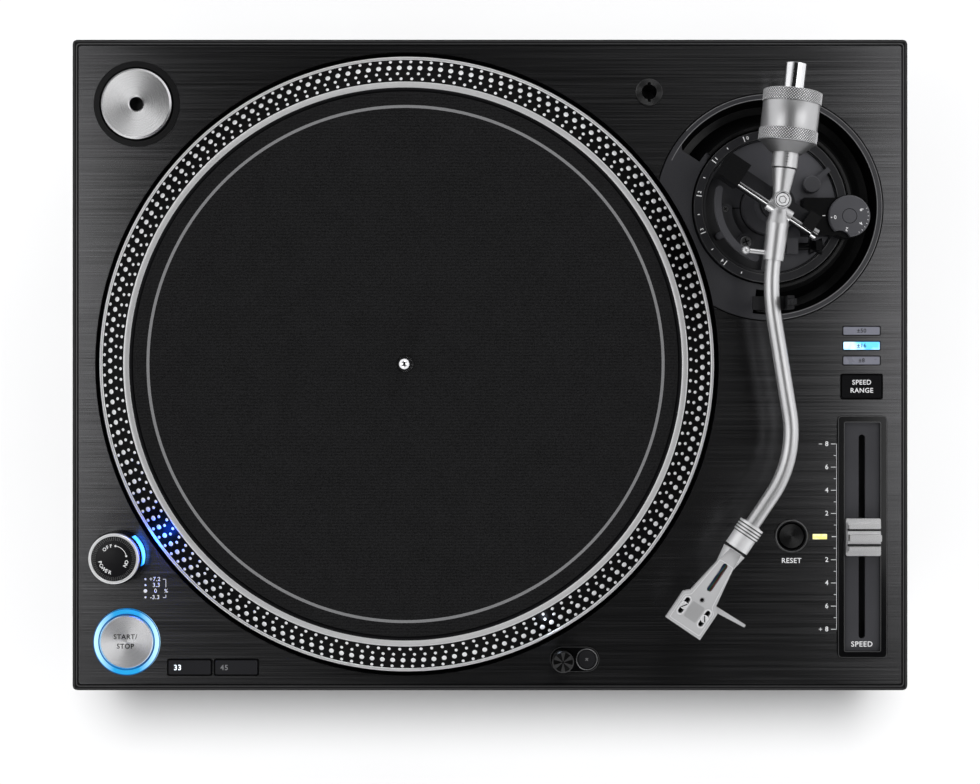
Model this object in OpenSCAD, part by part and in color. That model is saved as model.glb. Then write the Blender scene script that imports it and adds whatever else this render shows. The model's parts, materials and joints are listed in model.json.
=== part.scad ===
// Direct drive turntable with an S-shaped arm, seen from above with its front towards -Y.
// Lengths are millimetres. The origin is on the floor, under the middle of the body, with +Z up.

/* [Body] */
// Width of the body
body_w = 453; // [452:0.5:470]
// Depth of the body
body_d = 353; // [352:0.5:370]
// Height of the top panel's face above the floor
deck_z = 100; // [99:0.5:110]
// Radius of the body's upright corners
corner_r = 3; // [2:0.5:5]
// Thickness of the outer walls
wall = 6; // [5:0.5:7]
// Thickness of the die-cast top plate
plate_t = 6; // [5:0.5:7]
// Thickness of the metal top panel
panel_t = 2; // [1.5:0.1:2.5]
// Width of the rim that frames the top panel
rim_w = 3.6; // [3:0.1:4.5]
// Slope at the rim's outer edge
rim_chamfer = 1.6; // [1:0.1:2]
// Height of the rubber base slab
rubber_h = 10; // [8:0.5:12]
// Height of the lower tray
tray_h = 24; // [22:0.5:26]
// Thickness of the tray's floor
tray_floor = 5; // [4:0.5:6]
// How far the rubber base stands back from the body's sides
rubber_inset = 1.5; // [1:0.1:3]

/* [Feet] */
// Height from the floor to the rubber base
foot_h = 24; // [23:0.5:26]
// Radius of a foot
foot_r = 29; // [26:0.5:32]
// Distance from the body's sides to a foot's centre
foot_inset = 45; // [42:1:50]
// Thickness of the rubber pad under a foot
pad_t = 3; // [2:0.5:4]
// Radius of a foot's stud
stud_r = 4; // [3:0.5:5]

/* [Platter] */
// Sideways place of the platter's axis
platter_x = -45; // [-46:0.5:-44]
// Front-to-back place of the platter's axis
platter_y = 0.5; // [-1:0.5:1]
// Radius of the platter at its rim
platter_r = 166; // [164:0.5:167]
// Width of the bright ring at the rim
rim_ring = 1.4; // [1:0.1:2]
// Height of the rim above the deck
rim_rise = 2.7; // [2:0.1:4]
// Outer radius of the platter's flat top ring
ring_outer = 150.4; // [149:0.2:152]
// Width of the flat top ring
ring_w = 3; // [2:0.2:4]
// Height of the top ring above the deck
ring_rise = 16.3; // [15:0.1:18]
// Depth of the seat for the mat
mat_seat = 2; // [1.5:0.1:2.5]
// Thickness of the mat
mat_t = 2.5; // [2:0.1:3]
// Gap between the platter and its well
well_gap = 3; // [2.5:0.1:4]
// Thickness of the well's wall
well_wall = 2.4; // [2:0.1:2.6]
// Depth of the well's floor below the deck
well_depth = 16; // [15:0.5:18]
// Radius of the spindle's pin
pin_r = 3.6; // [3.5:0.02:3.62]
// Height of the spindle's tip above the deck
pin_rise = 34; // [31:0.5:36]

/* [Arm] */
// Sideways place of the arm's upright axis
arm_x = 151.3; // [151:0.1:153]
// Front-to-back place of the arm's upright axis
arm_y = 85.5; // [84.5:0.1:86.5]
// Height of the arm tube above the deck
arm_rise = 38; // [36:0.5:40]
// Heading of the arm's straight part at rest
arm_heading = 263.3; // [262:0.1:264]
// Heading of the arm's middle part
middle_heading = 279.2; // [278:0.1:280]
// Heading of the headshell
shell_heading = 236; // [235:0.5:237]
// Length of the middle part between its bends
middle_len = 49; // [46:0.5:51]
// Bend radius of the rear bend
bend_1 = 112; // [105:1:118]
// Bend radius of the front bend
bend_2 = 60; // [55:1:65]
// Radius of the arm tube
tube_r = 4; // [3.8:0.1:4.2]
// Wall of the arm tube
tube_wall = 0.8; // [0.6:0.1:1]
// Length of the straight tube before the headshell
nose_len = 18; // [16:0.5:20]
// Radius of the counterweight
weight_r = 14.8; // [13:0.2:15.4]
// Length of the counterweight
weight_len = 27; // [24:0.5:30]
// Radius of the recess around the arm
dish_r = 57.6; // [56:0.1:58]
// Width of the flat flange around the recess
dish_flange = 3.6; // [3:0.1:4]
// Outer radius of the height ring
height_r = 41.2; // [40:0.1:41.4]
// Width of the height ring's wall
height_w = 4.6; // [4:0.1:5]
// Travel of the arm base as the height ring turns
height_travel = 6; // [4:0.5:6]

/* [Headshell] */
// Width of the headshell
shell_w = 21.3; // [19:0.1:22]
// Length of the headshell from its collar to its front
shell_len = 48.5; // [46:0.5:50]
// Thickness of the headshell's plate
shell_t = 3.8; // [3:0.1:4.5]
// Distance between the two cartridge screws
screw_pitch = 12.7; // [12:0.1:13]
// Width of the cartridge
cart_w = 17; // [15:0.5:18]
// Height of the cartridge
cart_h = 13; // [11:0.5:14]

/* [Controls] */
// Radius of the power knob's pedestal
knob_r = 14.2; // [13:0.1:14.6]
// Height of the power knob
knob_h = 16.3; // [14:0.1:18]
// Radius of the start and stop button
start_r = 14.4; // [13:0.1:15]
// Width of the lit ring around the start and stop button
start_ring = 3.4; // [3:0.1:3.8]
// Width of a speed button
speed_w = 22.8; // [20:0.1:24]
// Depth of a speed button
speed_d = 7.6; // [6:0.1:8.5]
// Travel of a push button
press = 1.2; // [0.8:0.1:1.5]
// Width of the tempo slider's frame
slider_w = 26.8; // [25:0.1:28]
// Length of the tempo slider's frame
slider_len = 131.3; // [130:0.1:133]
// Travel of the tempo slider each way
slider_travel = 50; // [45:1:50]
// Width of the tempo slider's cap
cap_w = 18.7; // [17:0.1:18.9]
// Length of the tempo slider's cap
cap_len = 20.2; // [18:0.1:22]
// Radius of the single adapter
adapter_r = 19.05; // [18.8:0.05:19.1]
// Thickness of the single adapter
adapter_t = 10; // [8:0.5:11]

/* [Fits] */
// Clearance between pieces that move past each other
gap = 0.3; // [0.2:0.05:0.4]
// Clearance of a shaft in its bearing
running = 0.05; // [0.03:0.01:0.08]
// Clearance of a piece that is let into another
inlay = 0.15; // [0.1:0.05:0.2]

/* [Hidden] */
$fn = 96;
eps = 0.01;
through = 1;

// Levels of the stacked cabinet
rubber_z = foot_h;
tray_z = rubber_z + rubber_h;
tray_top = tray_z + tray_h;
plate_top = deck_z - panel_t;
plate_z = plate_top - plate_t;
well_z = deck_z - well_depth;
well_floor = 4;
well_r = platter_r + well_gap;
panel_gap = 0.25;
panel_w = body_w - 2 * rim_w;
panel_d = body_d - 2 * rim_w;

// Screws that hold the cabinet together, close to the walls
screw_r = 2;
screw_head_r = 3.8;
screw_head_t = 3;
screw_post_r = 5;
screw_side_x = body_w / 2 - 9.5;
screw_side_y = 75;
screw_end_y = body_d / 2 - 9.5;
screw_end_x = [-150, 120];
screw_top = tray_top + 14;
screw_places = concat(
    [for (sx = [-1, 1], sy = [-1, 1]) [sx * screw_side_x, sy * screw_side_y]],
    [for (x = screw_end_x, sy = [-1, 1]) [x, sy * screw_end_y]]);

// Feet
foot_x = body_w / 2 - foot_inset;
foot_y = body_d / 2 - foot_inset;
stud_top = tray_z + tray_floor + 5;
stud_post_r = stud_r + 5;

// Platter, motor and spindle
rim_z = deck_z + rim_rise;
ring_z = deck_z + ring_rise;
mat_z = ring_z - mat_seat;
mat_top = mat_z + mat_t;
ring_inner = ring_outer - ring_w;
bevel_w = 1.8;
mat_r = ring_inner - bevel_w - gap;
pin_base_r = pin_r + 0.6;
mat_hole = pin_base_r + gap;
platter_web = 5;
skirt_bottom = well_z + 4;
skirt_inner = platter_r - 7;
web_bottom = mat_z - platter_web;
hub_r = 14;
hub_bottom = web_bottom - 5;
seat_r = 8;
seat_flange_r = 12;
seat_flange_t = 3;
journal_r = 5;
journal_bottom = tray_top + 2;
bearing_r = 11;
bearing_flange_r = 22;
bearing_cap = 3;
stator_r = 46;
stator_plate_r = 62;
stator_plate_t = 3;
stator_top = hub_bottom - seat_flange_t - 1;
magnet_gap = 1;
magnet_w = 10;
magnet_bottom = well_z + stator_plate_t + 1;
slot_count = 12;

// Single adapter and its cup
cup_x = -191.4;
cup_y = 141.3;
cup_gap = 1.1;
cup_wall = 1.5;
cup_flange_r = 23.2;
cup_flange_t = 0.8;
adapter_z = deck_z + 2.5 - adapter_t;
adapter_bore = pin_r + 0.1;

// Socket for a spare headshell
socket_x = 86.2;
socket_y = 147.8;
socket_r = 7.3;
socket_tube_r = 6.2;
socket_bore = 4.1;
socket_depth = 16;
socket_notch = 1.6;

// Power knob and strobe lamp
knob_x = -200.7;
knob_y = -103.4;
pedestal_h = knob_h - 4.3;
knob_cap_r = knob_r - 0.7;
knob_stem_r = 3;
lens_from = -18;
lens_to = 52;
lens_t = 1.4;
lens_edge = 1.2;
lens_ease = 1;

// Buttons and lamps on the deck
start_x = -196.8;
start_y = -150;
start_ring_r = start_r + gap;
start_rise = press - gap;
speed_y = -163.8;
speed_33_x = -162.7;
speed_45_x = -137.4;
speed_rise = 0.5;
button_corner = 0.8;
cap_depth = 5;
stem_r = 2;
stem_len = 3;
reset_x = 163.3;
reset_y = -92.7;
reset_r = 7;
reset_bezel_r = 9.3;
bezel_rise = 0.7;
lamp_x = 178.7;
lamp_y = -93;
lamp_w = 8.1;
lamp_d = 3.1;
range_x = 201.3;
range_y = -11.7;
range_w = 21.3;
range_d = 12.2;
window_w = 19.9;
window_d = 4.5;
window_ys = [18.5, 10.4, 2.4];
light_x = 39.2;
light_y = -159.4;
light_r = 5.85;
light_h = 10.5;
light_button_x = 52.4;
light_button_r = 5;
light_pill_d = 13.5;

// Tempo slider
slider_x = 201.6;
slider_y = -93;
slider_frame = 3.8;
slider_frame_rise = 1.2;
slider_corner = 3;
slider_slot_w = 3.6;
slider_slot_len = 2 * slider_travel + 10.6;
slider_plate_t = 1.4;
pot_w = 12;
pot_h = 9;
pot_wall = 1.5;
cap_h = 9;
cap_base = 1.6;
cap_foot_t = 2.4;
cap_body_h = 4;
cap_body_ease = 1.2;
cap_body_step = 4;
cap_ridge_ease = 1.6;
cap_ridge_w = 3.6;
cap_side_ridge_w = 2.4;
cap_side_ridge_y = 6;
cap_side_ridge_drop = 2.6;
cap_stem_w = 2;
cap_stem_l = 6;

// Arm base
arm_z = deck_z + arm_rise;
flange_r = dish_r + dish_flange;
flange_t = panel_t + 0.3;
dish_floor_z = deck_z - 18;
dish_floor_t = 3;
dish_wall = 1.4;
dish_lip_z = deck_z + 3;
dish_lip_w = 2;
dish_lean = 0.6;
dish_profile = [[2, 8], [6, 7], [11, 14]];
tongue_from = 147;
tongue_to = 261;
tongue_fillet = 5.5;
fillet_bite = 1;
ring_gap = 0.9;
notch_w = 0.5;
notch_from = 110;
height_in = height_r - height_w;
height_z = dish_floor_z + dish_floor_t + 0.2;
height_top = deck_z + 4;
base_r = height_in - gap;
base_top = deck_z + 2;
base_bottom = deck_z - 9;
base_stem_r = 12;
base_stem_bottom = dish_floor_z - height_travel - 4;
guide_r = 16;
guide_bottom = base_stem_bottom - 2;
pocket_z = deck_z - 3;
pocket_from = 150;
pocket_to = 262;
pocket_rim = 1.6;
kidney_in = 20.3;
kidney_out = 25.7;
kidney_from = 182;
kidney_to = 235.5;
kidney_h = 3.4;
kidney_boss_r = 4.6;
kidney_boss_h = 5;
kidney_screw_r = 3.1;
kidney_screw_slot = 0.8;
pillar_ring_r = 15;
pillar_ring_h = 4;
pillar_r = 9;
pillar_top = arm_z - 14;
swing_shaft_r = 4;
swing_shaft_z = deck_z + 4;

// Anti-skating unit
skate_x = 190.8;
skate_y = 79.1;
skate_w = 20;
skate_boss_r = 11.5;
skate_z = height_top + 0.6;
skate_top = deck_z + 17.5;
skate_dial_r = 11;
skate_dial_t = 3.2;
skate_button_r = 3.7;
skate_foot_x = arm_x + pillar_ring_r + 1;
skate_foot_end = arm_x + base_r - 8;

// Height lock, cue lever and lift rail
lock_x = 173.4;
lock_y = 97.3;
lock_r = 4.7;
lock_h = 4.5;
lock_lever_l = 12.5;
lock_lever_w = 2.6;
lock_lever_a = 42;
lock_stem_r = 2;
cue_y = 63.4;
cue_z = deck_z + 12;
cue_r = 2;
cue_from = arm_x + 5;
cue_to = arm_x + 19.5;
cue_lug_x = arm_x + 7;
cue_lug_w = 6;
cue_hub_r = 4.5;
cue_hub_w = 6.5;
cue_blade_h = 12;
cue_blade_t = 3;
rail_in = 29.5;
rail_out = 33.1;
rail_from = 167;
rail_to = 248.5;
rail_h = 3.6;
rail_top = arm_z - 9;
rail_post_a = 210;
rail_post_r = 2;

// Gimbal
bar_heading = 146;
bar_w = 10;
bar_t = 5;
bar_z = pillar_top + gap;
left_block_from = 23;
left_block_to = 36;
left_block_w = 13;
right_block_from = 16;
right_block_to = 22.5;
right_block_w = 9;
block_top = arm_z + 3;
lift_ahead = 5;
pivot_pin_r = 1.6;
pivot_pin_grip = 3;
pivot_boss_r = 3.6;
pivot_boss_half = 7;
pivot_knob_r = 3.4;
pivot_knob_t = 3;

// Arm block, along the arm from the upright axis, forwards positive
shaft_r = 5.4;
shaft_end = -72;
shaft_bore = 3;
shaft_bore_to = -30;
sleeve_end_r = 6.75;
sleeve_from = -25.8;
sleeve_to = -17.4;
neck_to = -16.6;
cone_r = 6.15;
core_r = 4.3;
core_from = -4;
core_to = 4;
collar_r = 5.9;
collar_at = 12;
collar_step = 21;
collar_step_r = 5.6;
collar_end_r = 5.25;
collar_to = 31.2;
tube_from = 21.5;
cap_ring_r = 4.8;
cap_screw_r = 4;
cap_ring_h = 2.2;
lift_pin_s = 27.6;
lift_pin_l = 14.8;
lift_pin_r = 1.3;
lift_ball_r = 2.3;

// Counterweight on its threaded sleeve
weight_to = sleeve_from - 4.7;
weight_from = weight_to - weight_len;
knurl_len = 6.5;
knurl_extra = 0.55;
weight_recess = 13;
weight_rim = 2.4;
nut_r = 9;
nut_from = weight_from + 4;
nut_to = weight_to - 4;
dial_len = 5.2;
dial_front_r = 8.4;

// Arm rest
rest_x = 147.75;
rest_y = 32.5;
rest_post_r = 3;
rest_boss_r = 4.2;
rest_boss_z = deck_z - 5;
rest_w = 19.5;
rest_d = 7;
rest_low = arm_z - tube_r - 0.8;
rest_high = arm_z + 3.4;
rest_cheek = 3.3;
rest_bar_t = 5;
clip_len = 14.4;
clip_w = 3;
clip_t = 1.6;
clip_pivot_z = rest_high + 1.9;
clip_knuckle = 1.8;
clip_pin_r = 0.8;

// Headshell, along its heading from the tube's end
socket_len = 13.5;
socket_out = 5;
plug_r = 4;
collar_len = 14.7;
collar_out = 6.4;
collar_rib = 6.9;
shell_from = collar_len + 1.7;
shell_front = shell_from + shell_len;
screw_at = shell_front - 10.5;
wide_len = 16.2;
neck_w = 15.6;
neck_r = 6.4;
shell_top = 2.6;
slot_w = 2.5;
slot_len = 9.4;
window_len = 17;
window_wd = 3;
finger_w = 3;
finger_len = 19;
finger_t = 1;
cart_len = 24;
cart_gap = 0.05;
stylus_drop = 17.6;

// Boards and transformer
board_t = 1.6;
control_x = [92, 190];
control_y = [-169, -132];
control_z = plate_z - 8;
board_post_r = 3;
power_x = [-128, -36];
power_y = [92, 158];
power_z = tray_z + tray_floor + 5;
trans_size = [58, 48, 34];
trans_at = [-165, 78];
trans_coil_in = 16;
trans_core_in = 18;
trans_core_drop = 8;
trans_foot_in = 10;
trans_foot_t = 2;
capacitor_at = [20, 45];
capacitor_r = 8;
capacitor_h = 20;

// Rear sockets
jack_x = 165;
jack_cup = [58, 16, 17.4];
jack_z = tray_z + tray_floor + gap + jack_cup[2] / 2;
jack_r = 4.15;
jack_len = 9;
jack_pitch = 18;
inlet_x = -178;
inlet_size = [24, 17, 14];
inlet_hole = [15.5, 7.6];
inlet_depth = 11;
inlet_z = tray_z + 12.5;

// Arm path, as headings and turns
turn_1 = middle_heading - arm_heading;
turn_2 = middle_heading - shell_heading;

joint_slack = 0.1;
joint_bead = 0.02;
joint_len = 0.8;

function heading(a) = [cos(a), sin(a)];
function step(p, a, d) = p + d * heading(a);
arm_at = [arm_x, arm_y];
bend_1_start = step(arm_at, arm_heading, collar_to + 0.4);
bend_1_centre = step(bend_1_start, arm_heading + 90, bend_1);
bend_1_end = step(bend_1_centre, middle_heading - 90, bend_1);
bend_2_start = step(bend_1_end, middle_heading, middle_len);
bend_2_centre = step(bend_2_start, middle_heading - 90, bend_2);
bend_2_end = step(bend_2_centre, shell_heading + 90, bend_2);
tube_end = step(bend_2_end, shell_heading, nose_len);
lift_at = step(arm_at, arm_heading, lift_ahead);

// A flat rectangle with round corners, centred
module round_rect(w, d, r) {
    square([w - 2 * r, d], center = true);
    square([w, d - 2 * r], center = true);
    for (sx = [-1, 1], sy = [-1, 1])
        translate([sx * (w / 2 - r), sy * (d / 2 - r)]) circle(r, $fn = 48);
}

// A standing block with round corners, from z up by h
module block(w, d, r, z, h) {
    translate([0, 0, z]) linear_extrude(h) round_rect(w, d, r);
}

// A flat slot with round ends, centred, along X
module slot_shape(len, w) {
    square([len - w, w], center = true);
    for (s = [-1, 1]) translate([s * (len - w) / 2, 0]) circle(w / 2, $fn = 48);
}

// A tube from z up by h
module tube(outer, inner, z, h) {
    translate([0, 0, z]) difference() {
        cylinder(r = outer, h = h);
        translate([0, 0, -through]) cylinder(r = inner, h = h + 2 * through);
    }
}

// A disc from z up by h
module disc(r, z, h) {
    translate([0, 0, z]) cylinder(r = r, h = h);
}

// A disc whose top edge is sloped by c
module eased_disc(r, z, h, c) {
    disc(r, z, h - c);
    translate([0, 0, z + h - c]) cylinder(r1 = r, r2 = r - c, h = c);
}

// A flat sector of radius r between two angles, made of small wedges under a circle
module sector(r, from, to) {
    steps = ceil((to - from) / 30);
    reach = r / cos((to - from) / steps / 2);
    polygon(concat([[0, 0]],
        [for (i = [0:steps]) reach * heading(from + (to - from) * i / steps)]));
}

module at_platter() {
    translate([platter_x, platter_y, 0]) children();
}

module at_arm() {
    translate([arm_x, arm_y, 0]) children();
}

// The arm's own line: children's +Z runs forwards along the arm from its upright axis
module on_arm() {
    translate([arm_x, arm_y, arm_z]) rotate([0, 0, arm_heading]) rotate([0, 90, 0]) children();
}

// The headshell's own line: children's +X runs forwards, from the tube's end
module on_shell() {
    translate([tube_end[0], tube_end[1], arm_z]) rotate([0, 0, shell_heading]) children();
}

// The same line with children's +Z forwards
module on_nose() {
    on_shell() rotate([0, 90, 0]) children();
}

// A length of round bar along the arm, from s1 to s2, tapering from r1 to r2
module arm_length(s1, s2, r1, r2) {
    translate([0, 0, s1]) cylinder(r1 = r1, r2 = r2, h = s2 - s1);
}

module foot_at(sx, sy) {
    translate([sx * foot_x, sy * foot_y, 0]) children();
}

module at_screws() {
    for (p = screw_places) translate([p[0], p[1], 0]) children();
}

module rubber_base() {
    w = body_w - 2 * rubber_inset;
    d = body_d - 2 * rubber_inset;
    color("#161617") difference() {
        block(w, d, corner_r, rubber_z, rubber_h);
        for (sx = [-1, 1], sy = [-1, 1])
            foot_at(sx, sy) disc(stud_r + 1, rubber_z - through, rubber_h + 2 * through);
        at_screws() {
            disc(screw_head_r + gap, rubber_z - through, screw_head_t + through);
            disc(screw_r + gap, rubber_z - through, rubber_h + 2 * through);
        }
    }
}

module base_tray() {
    inner_w = body_w - 2 * wall;
    inner_d = body_d - 2 * wall;
    color("#202021") difference() {
        union() {
            difference() {
                block(body_w, body_d, corner_r, tray_z, tray_h);
                block(inner_w, inner_d, corner_r, tray_z + tray_floor, tray_h);
            }
            intersection() {
                block(body_w - wall, body_d - wall, corner_r, tray_z, tray_h);
                at_screws() disc(screw_post_r, tray_z, tray_h);
            }
            for (sx = [-1, 1], sy = [-1, 1])
                foot_at(sx, sy) disc(stud_post_r, tray_z, stud_top - tray_z + 2);
            for (x = power_x, y = power_y)
                translate([x + (x == power_x[0] ? 6 : -6), y + (y == power_y[0] ? 6 : -6), 0])
                    disc(board_post_r, tray_z, power_z - tray_z);
        }
        for (sx = [-1, 1], sy = [-1, 1])
            foot_at(sx, sy) disc(stud_r + running, tray_z - through, stud_top - tray_z + through);
        at_screws() disc(screw_r + gap, tray_z - through, tray_h + 2 * through);
        rear_cut(jack_x, jack_z, jack_cup);
        rear_cut(inlet_x, inlet_z, inlet_size);
    }
}

// The window in the rear wall that a socket unit of the given size is let into
module rear_cut(x, z, size) {
    translate([x, body_d / 2 - wall / 2, z])
        cube([size[0] + 2 * inlay, wall + 2 * through, size[2] + 2 * inlay], center = true);
}

module chassis_shell() {
    inner_w = body_w - 2 * wall;
    inner_d = body_d - 2 * wall;
    color("#0e0e0f") difference() {
        union() {
            difference() {
                chamfered_body();
                block(inner_w, inner_d, corner_r, tray_top - through, plate_z - tray_top + through);
                block(panel_w + 2 * panel_gap, panel_d + 2 * panel_gap, 1.5, plate_top, 2 * panel_t);
            }
            at_platter() disc(well_r + well_wall, well_z - well_floor, plate_z - well_z + well_floor + eps);
            intersection() {
                block(body_w - wall, body_d - wall, corner_r, tray_top, screw_top - tray_top + 4);
                at_screws() disc(screw_post_r, tray_top, screw_top - tray_top + 4);
            }
            for (x = control_x, y = control_y)
                translate([x + (x == control_x[0] ? 5 : -5), y + (y == control_y[0] ? 5 : -5), 0])
                    disc(board_post_r, control_z + board_t, plate_z - control_z - board_t + eps);
        }
        at_platter() {
            disc(well_r, well_z, deck_z);
            disc(bearing_r + inlay, well_z - well_floor - through, deck_z);
        }
        at_screws() disc(screw_r + running, tray_top - through, screw_top - tray_top + through);
        chassis_cuts();
    }
}

// The body's outer block with a sloped edge around its top
module chamfered_body() {
    h = deck_z - tray_top;
    c = rim_chamfer;
    difference() {
        block(body_w, body_d, corner_r, tray_top, h);
        for (s = [-1, 1]) {
            translate([s * body_w / 2, 0, deck_z]) rotate([0, 45, 0])
                cube([c * sqrt(2), body_d + 2, c * sqrt(2)], center = true);
            translate([0, s * body_d / 2, deck_z]) rotate([45, 0, 0])
                cube([body_w + 2, c * sqrt(2), c * sqrt(2)], center = true);
        }
    }
}

// Holes in the die-cast top plate, under the panel
module chassis_cuts() {
    low = plate_z - 2;
    tall = deck_z;
    translate([cup_x, cup_y, 0]) disc(adapter_r + cup_gap + cup_wall + gap, low, tall);
    translate([socket_x, socket_y, 0]) disc(socket_tube_r + inlay, low, tall);
    translate([start_x, start_y, 0]) disc(start_r + start_ring - 1, low, tall);
    for (x = [speed_33_x, speed_45_x])
        translate([x, speed_y, 0]) block(speed_w + 2 * gap, speed_d + 2 * gap, button_corner, low, tall);
    translate([range_x, range_y, 0]) block(range_w + 2 * gap, range_d + 2 * gap, button_corner, low, tall);
    translate([reset_x, reset_y, 0]) disc(reset_r + gap, low, tall);
    translate([light_x, light_y, 0]) disc(light_r + gap, low, tall);
    translate([light_button_x, light_y, 0]) disc(light_button_r + gap, low, tall);
    translate([knob_x, knob_y, 0]) disc(knob_stem_r + running, low, tall);
    translate([slider_x, slider_y, 0]) block(pot_w + 2 * inlay, slider_slot_len + 8, 1, low, tall);
    intersection() {
        at_arm() disc(dish_r + 1.5, low, tall);
        at_platter() tube(2 * body_w, well_r + well_wall, low - through, 2 * tall);
    }
}

module top_panel() {
    color("#4a4a4d") difference() {
        block(panel_w, panel_d, 1.3, plate_top, panel_t);
        at_platter() disc(well_r, plate_top - through, panel_t + 2 * through);
        at_arm() disc(flange_r + inlay, plate_top - through, panel_t + 2 * through);
        translate([0, 0, plate_top - through]) linear_extrude(panel_t + 2 * through) panel_holes();
    }
}

module panel_holes() {
    translate([cup_x, cup_y]) circle(adapter_r + cup_gap + cup_wall + inlay);
    translate([socket_x, socket_y]) circle(socket_tube_r + inlay);
    translate([start_x, start_y]) circle(start_r + gap + start_ring + inlay);
    for (x = [speed_33_x, speed_45_x])
        translate([x, speed_y]) round_rect(speed_w + 2 * gap, speed_d + 2 * gap, button_corner);
    translate([range_x, range_y]) round_rect(range_w + 2 * gap, range_d + 2 * gap, button_corner);
    for (y = window_ys)
        translate([range_x, y]) round_rect(window_w + 2 * inlay, window_d + 2 * inlay, 0.6);
    translate([reset_x, reset_y]) circle(reset_r + gap);
    translate([lamp_x, lamp_y]) round_rect(lamp_w + 2 * inlay, lamp_d + 2 * inlay, 0.5);
    translate([light_x, light_y]) circle(light_r + gap);
    translate([light_button_x, light_y]) circle(light_button_r + gap);
    translate([knob_x, knob_y]) circle(knob_stem_r + running);
    translate([slider_x, slider_y])
        round_rect(slider_w - 2 * slider_frame + 2 * inlay, slider_len - 2 * slider_frame + 2 * inlay, 1);
}

module base_screws() {
    color("#3a3a3c") at_screws() {
        difference() {
            disc(screw_head_r, rubber_z + 0.4, screw_head_t - 0.4);
            disc(1.3, rubber_z, 1.8);
        }
        disc(screw_r, rubber_z + screw_head_t - eps, screw_top - rubber_z - screw_head_t - 1);
    }
}

module motor_stator() {
    color("#9a9088") at_platter() difference() {
        union() {
            tube(stator_plate_r, bearing_r + inlay, well_z, stator_plate_t);
            tube(stator_r, bearing_r + inlay, well_z, stator_top - well_z);
        }
        for (i = [0:slot_count - 1])
            rotate([0, 0, i * 360 / slot_count])
                translate([stator_r - 9, 0, well_z + stator_plate_t + 2])
                    linear_extrude(stator_top) slot_shape(14, 4);
    }
}

module bearing_housing() {
    color("#b08a3c") at_platter() difference() {
        union() {
            disc(bearing_r, journal_bottom - bearing_cap, stator_top - journal_bottom + bearing_cap);
            disc(bearing_flange_r, well_z - well_floor - 4, 4);
        }
        disc(journal_r + running, journal_bottom - 0.1, deck_z);
    }
}

module spindle() {
    tip = deck_z + pin_rise;
    seat_top = mat_z - 0.4;
    color("#c9c9cb") at_platter() {
        disc(journal_r, journal_bottom, hub_bottom - seat_flange_t - journal_bottom + eps);
        disc(seat_flange_r, hub_bottom - seat_flange_t, seat_flange_t);
        disc(seat_r, hub_bottom - eps, seat_top - hub_bottom);
        disc(pin_base_r, seat_top - through, mat_top - seat_top + through);
        disc(pin_r, seat_top - through, tip - pin_r - seat_top + through);
        translate([0, 0, tip - pin_r]) sphere(pin_r);
    }
}

// The platter is one turned profile, bored for the spindle's seat
module platter() {
    slope_foot = platter_r - rim_ring;
    color("#8d8f92") at_platter() rotate_extrude($fn = 180) polygon([
        [seat_r + running, hub_bottom], [hub_r, hub_bottom], [hub_r, web_bottom],
        [ring_inner - bevel_w - 3, web_bottom], [skirt_inner, rim_z - 6],
        [skirt_inner, skirt_bottom], [platter_r, skirt_bottom], [platter_r, rim_z],
        [slope_foot, rim_z], [ring_outer, ring_z], [ring_inner, ring_z],
        [ring_inner - bevel_w, mat_z], [seat_r + running, mat_z]]);
}

module slipmat() {
    color("#141416") at_platter() tube(mat_r, mat_hole, mat_z, mat_t);
}

module rotor_magnet() {
    inner = stator_r + magnet_gap;
    color("#55555a") at_platter() tube(inner + magnet_w, inner, magnet_bottom, web_bottom - magnet_bottom);
}

module adapter_cup() {
    inner = adapter_r + cup_gap;
    color("#2a2a2c") translate([cup_x, cup_y, 0]) {
        tube(cup_flange_r, inner, deck_z, cup_flange_t);
        difference() {
            disc(inner + cup_wall, adapter_z - 2, deck_z - adapter_z + 2 + eps);
            disc(inner, adapter_z, deck_z);
        }
    }
}

module adapter_45() {
    color("#d2d2d4") translate([cup_x, cup_y, 0]) difference() {
        eased_disc(adapter_r, adapter_z, adapter_t, 1);
        disc(adapter_bore, adapter_z - through, adapter_t + 2 * through);
        translate([0, 0, adapter_z + adapter_t - 0.8]) cylinder(r1 = adapter_bore, r2 = adapter_bore + 1, h = 1);
    }
}

module accessory_socket() {
    bottom = deck_z - socket_depth;
    color("#6f7073") translate([socket_x, socket_y, 0]) difference() {
        union() {
            eased_disc(socket_r, deck_z, 0.8, 0.3);
            disc(socket_tube_r, bottom - 2, socket_depth + 2 + eps);
        }
        disc(socket_bore, bottom, socket_depth + 2);
        translate([0, 0, deck_z - 3 + 2])
            cube([socket_notch, 2 * socket_bore + 2.4, 6], center = true);
    }
}

// The sector that the lamp's window takes, widened by grow degrees at each side
module lens_sector(grow) {
    rotate([0, 0, (lens_from + lens_to) / 2])
        sector(2 * knob_r, (lens_from - lens_to) / 2 - grow, (lens_to - lens_from) / 2 + grow);
}

module strobe_housing() {
    color("#2d2d2f") translate([knob_x, knob_y, 0]) difference() {
        disc(knob_r, deck_z, pedestal_h);
        disc(knob_stem_r + running, deck_z - through, pedestal_h + 2 * through);
        translate([0, 0, deck_z + lens_edge]) linear_extrude(pedestal_h - 2 * lens_edge) difference() {
            lens_sector(lens_ease);
            circle(knob_r - lens_t - inlay);
        }
    }
}

module strobe_lens() {
    h = pedestal_h - 2 * lens_edge - 2 * inlay;
    color("#7fe3ff") translate([knob_x, knob_y, deck_z + lens_edge + inlay]) linear_extrude(h)
        difference() {
            intersection() {
                circle(knob_r);
                lens_sector(0);
            }
            circle(knob_r - lens_t);
        }
}

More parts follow.
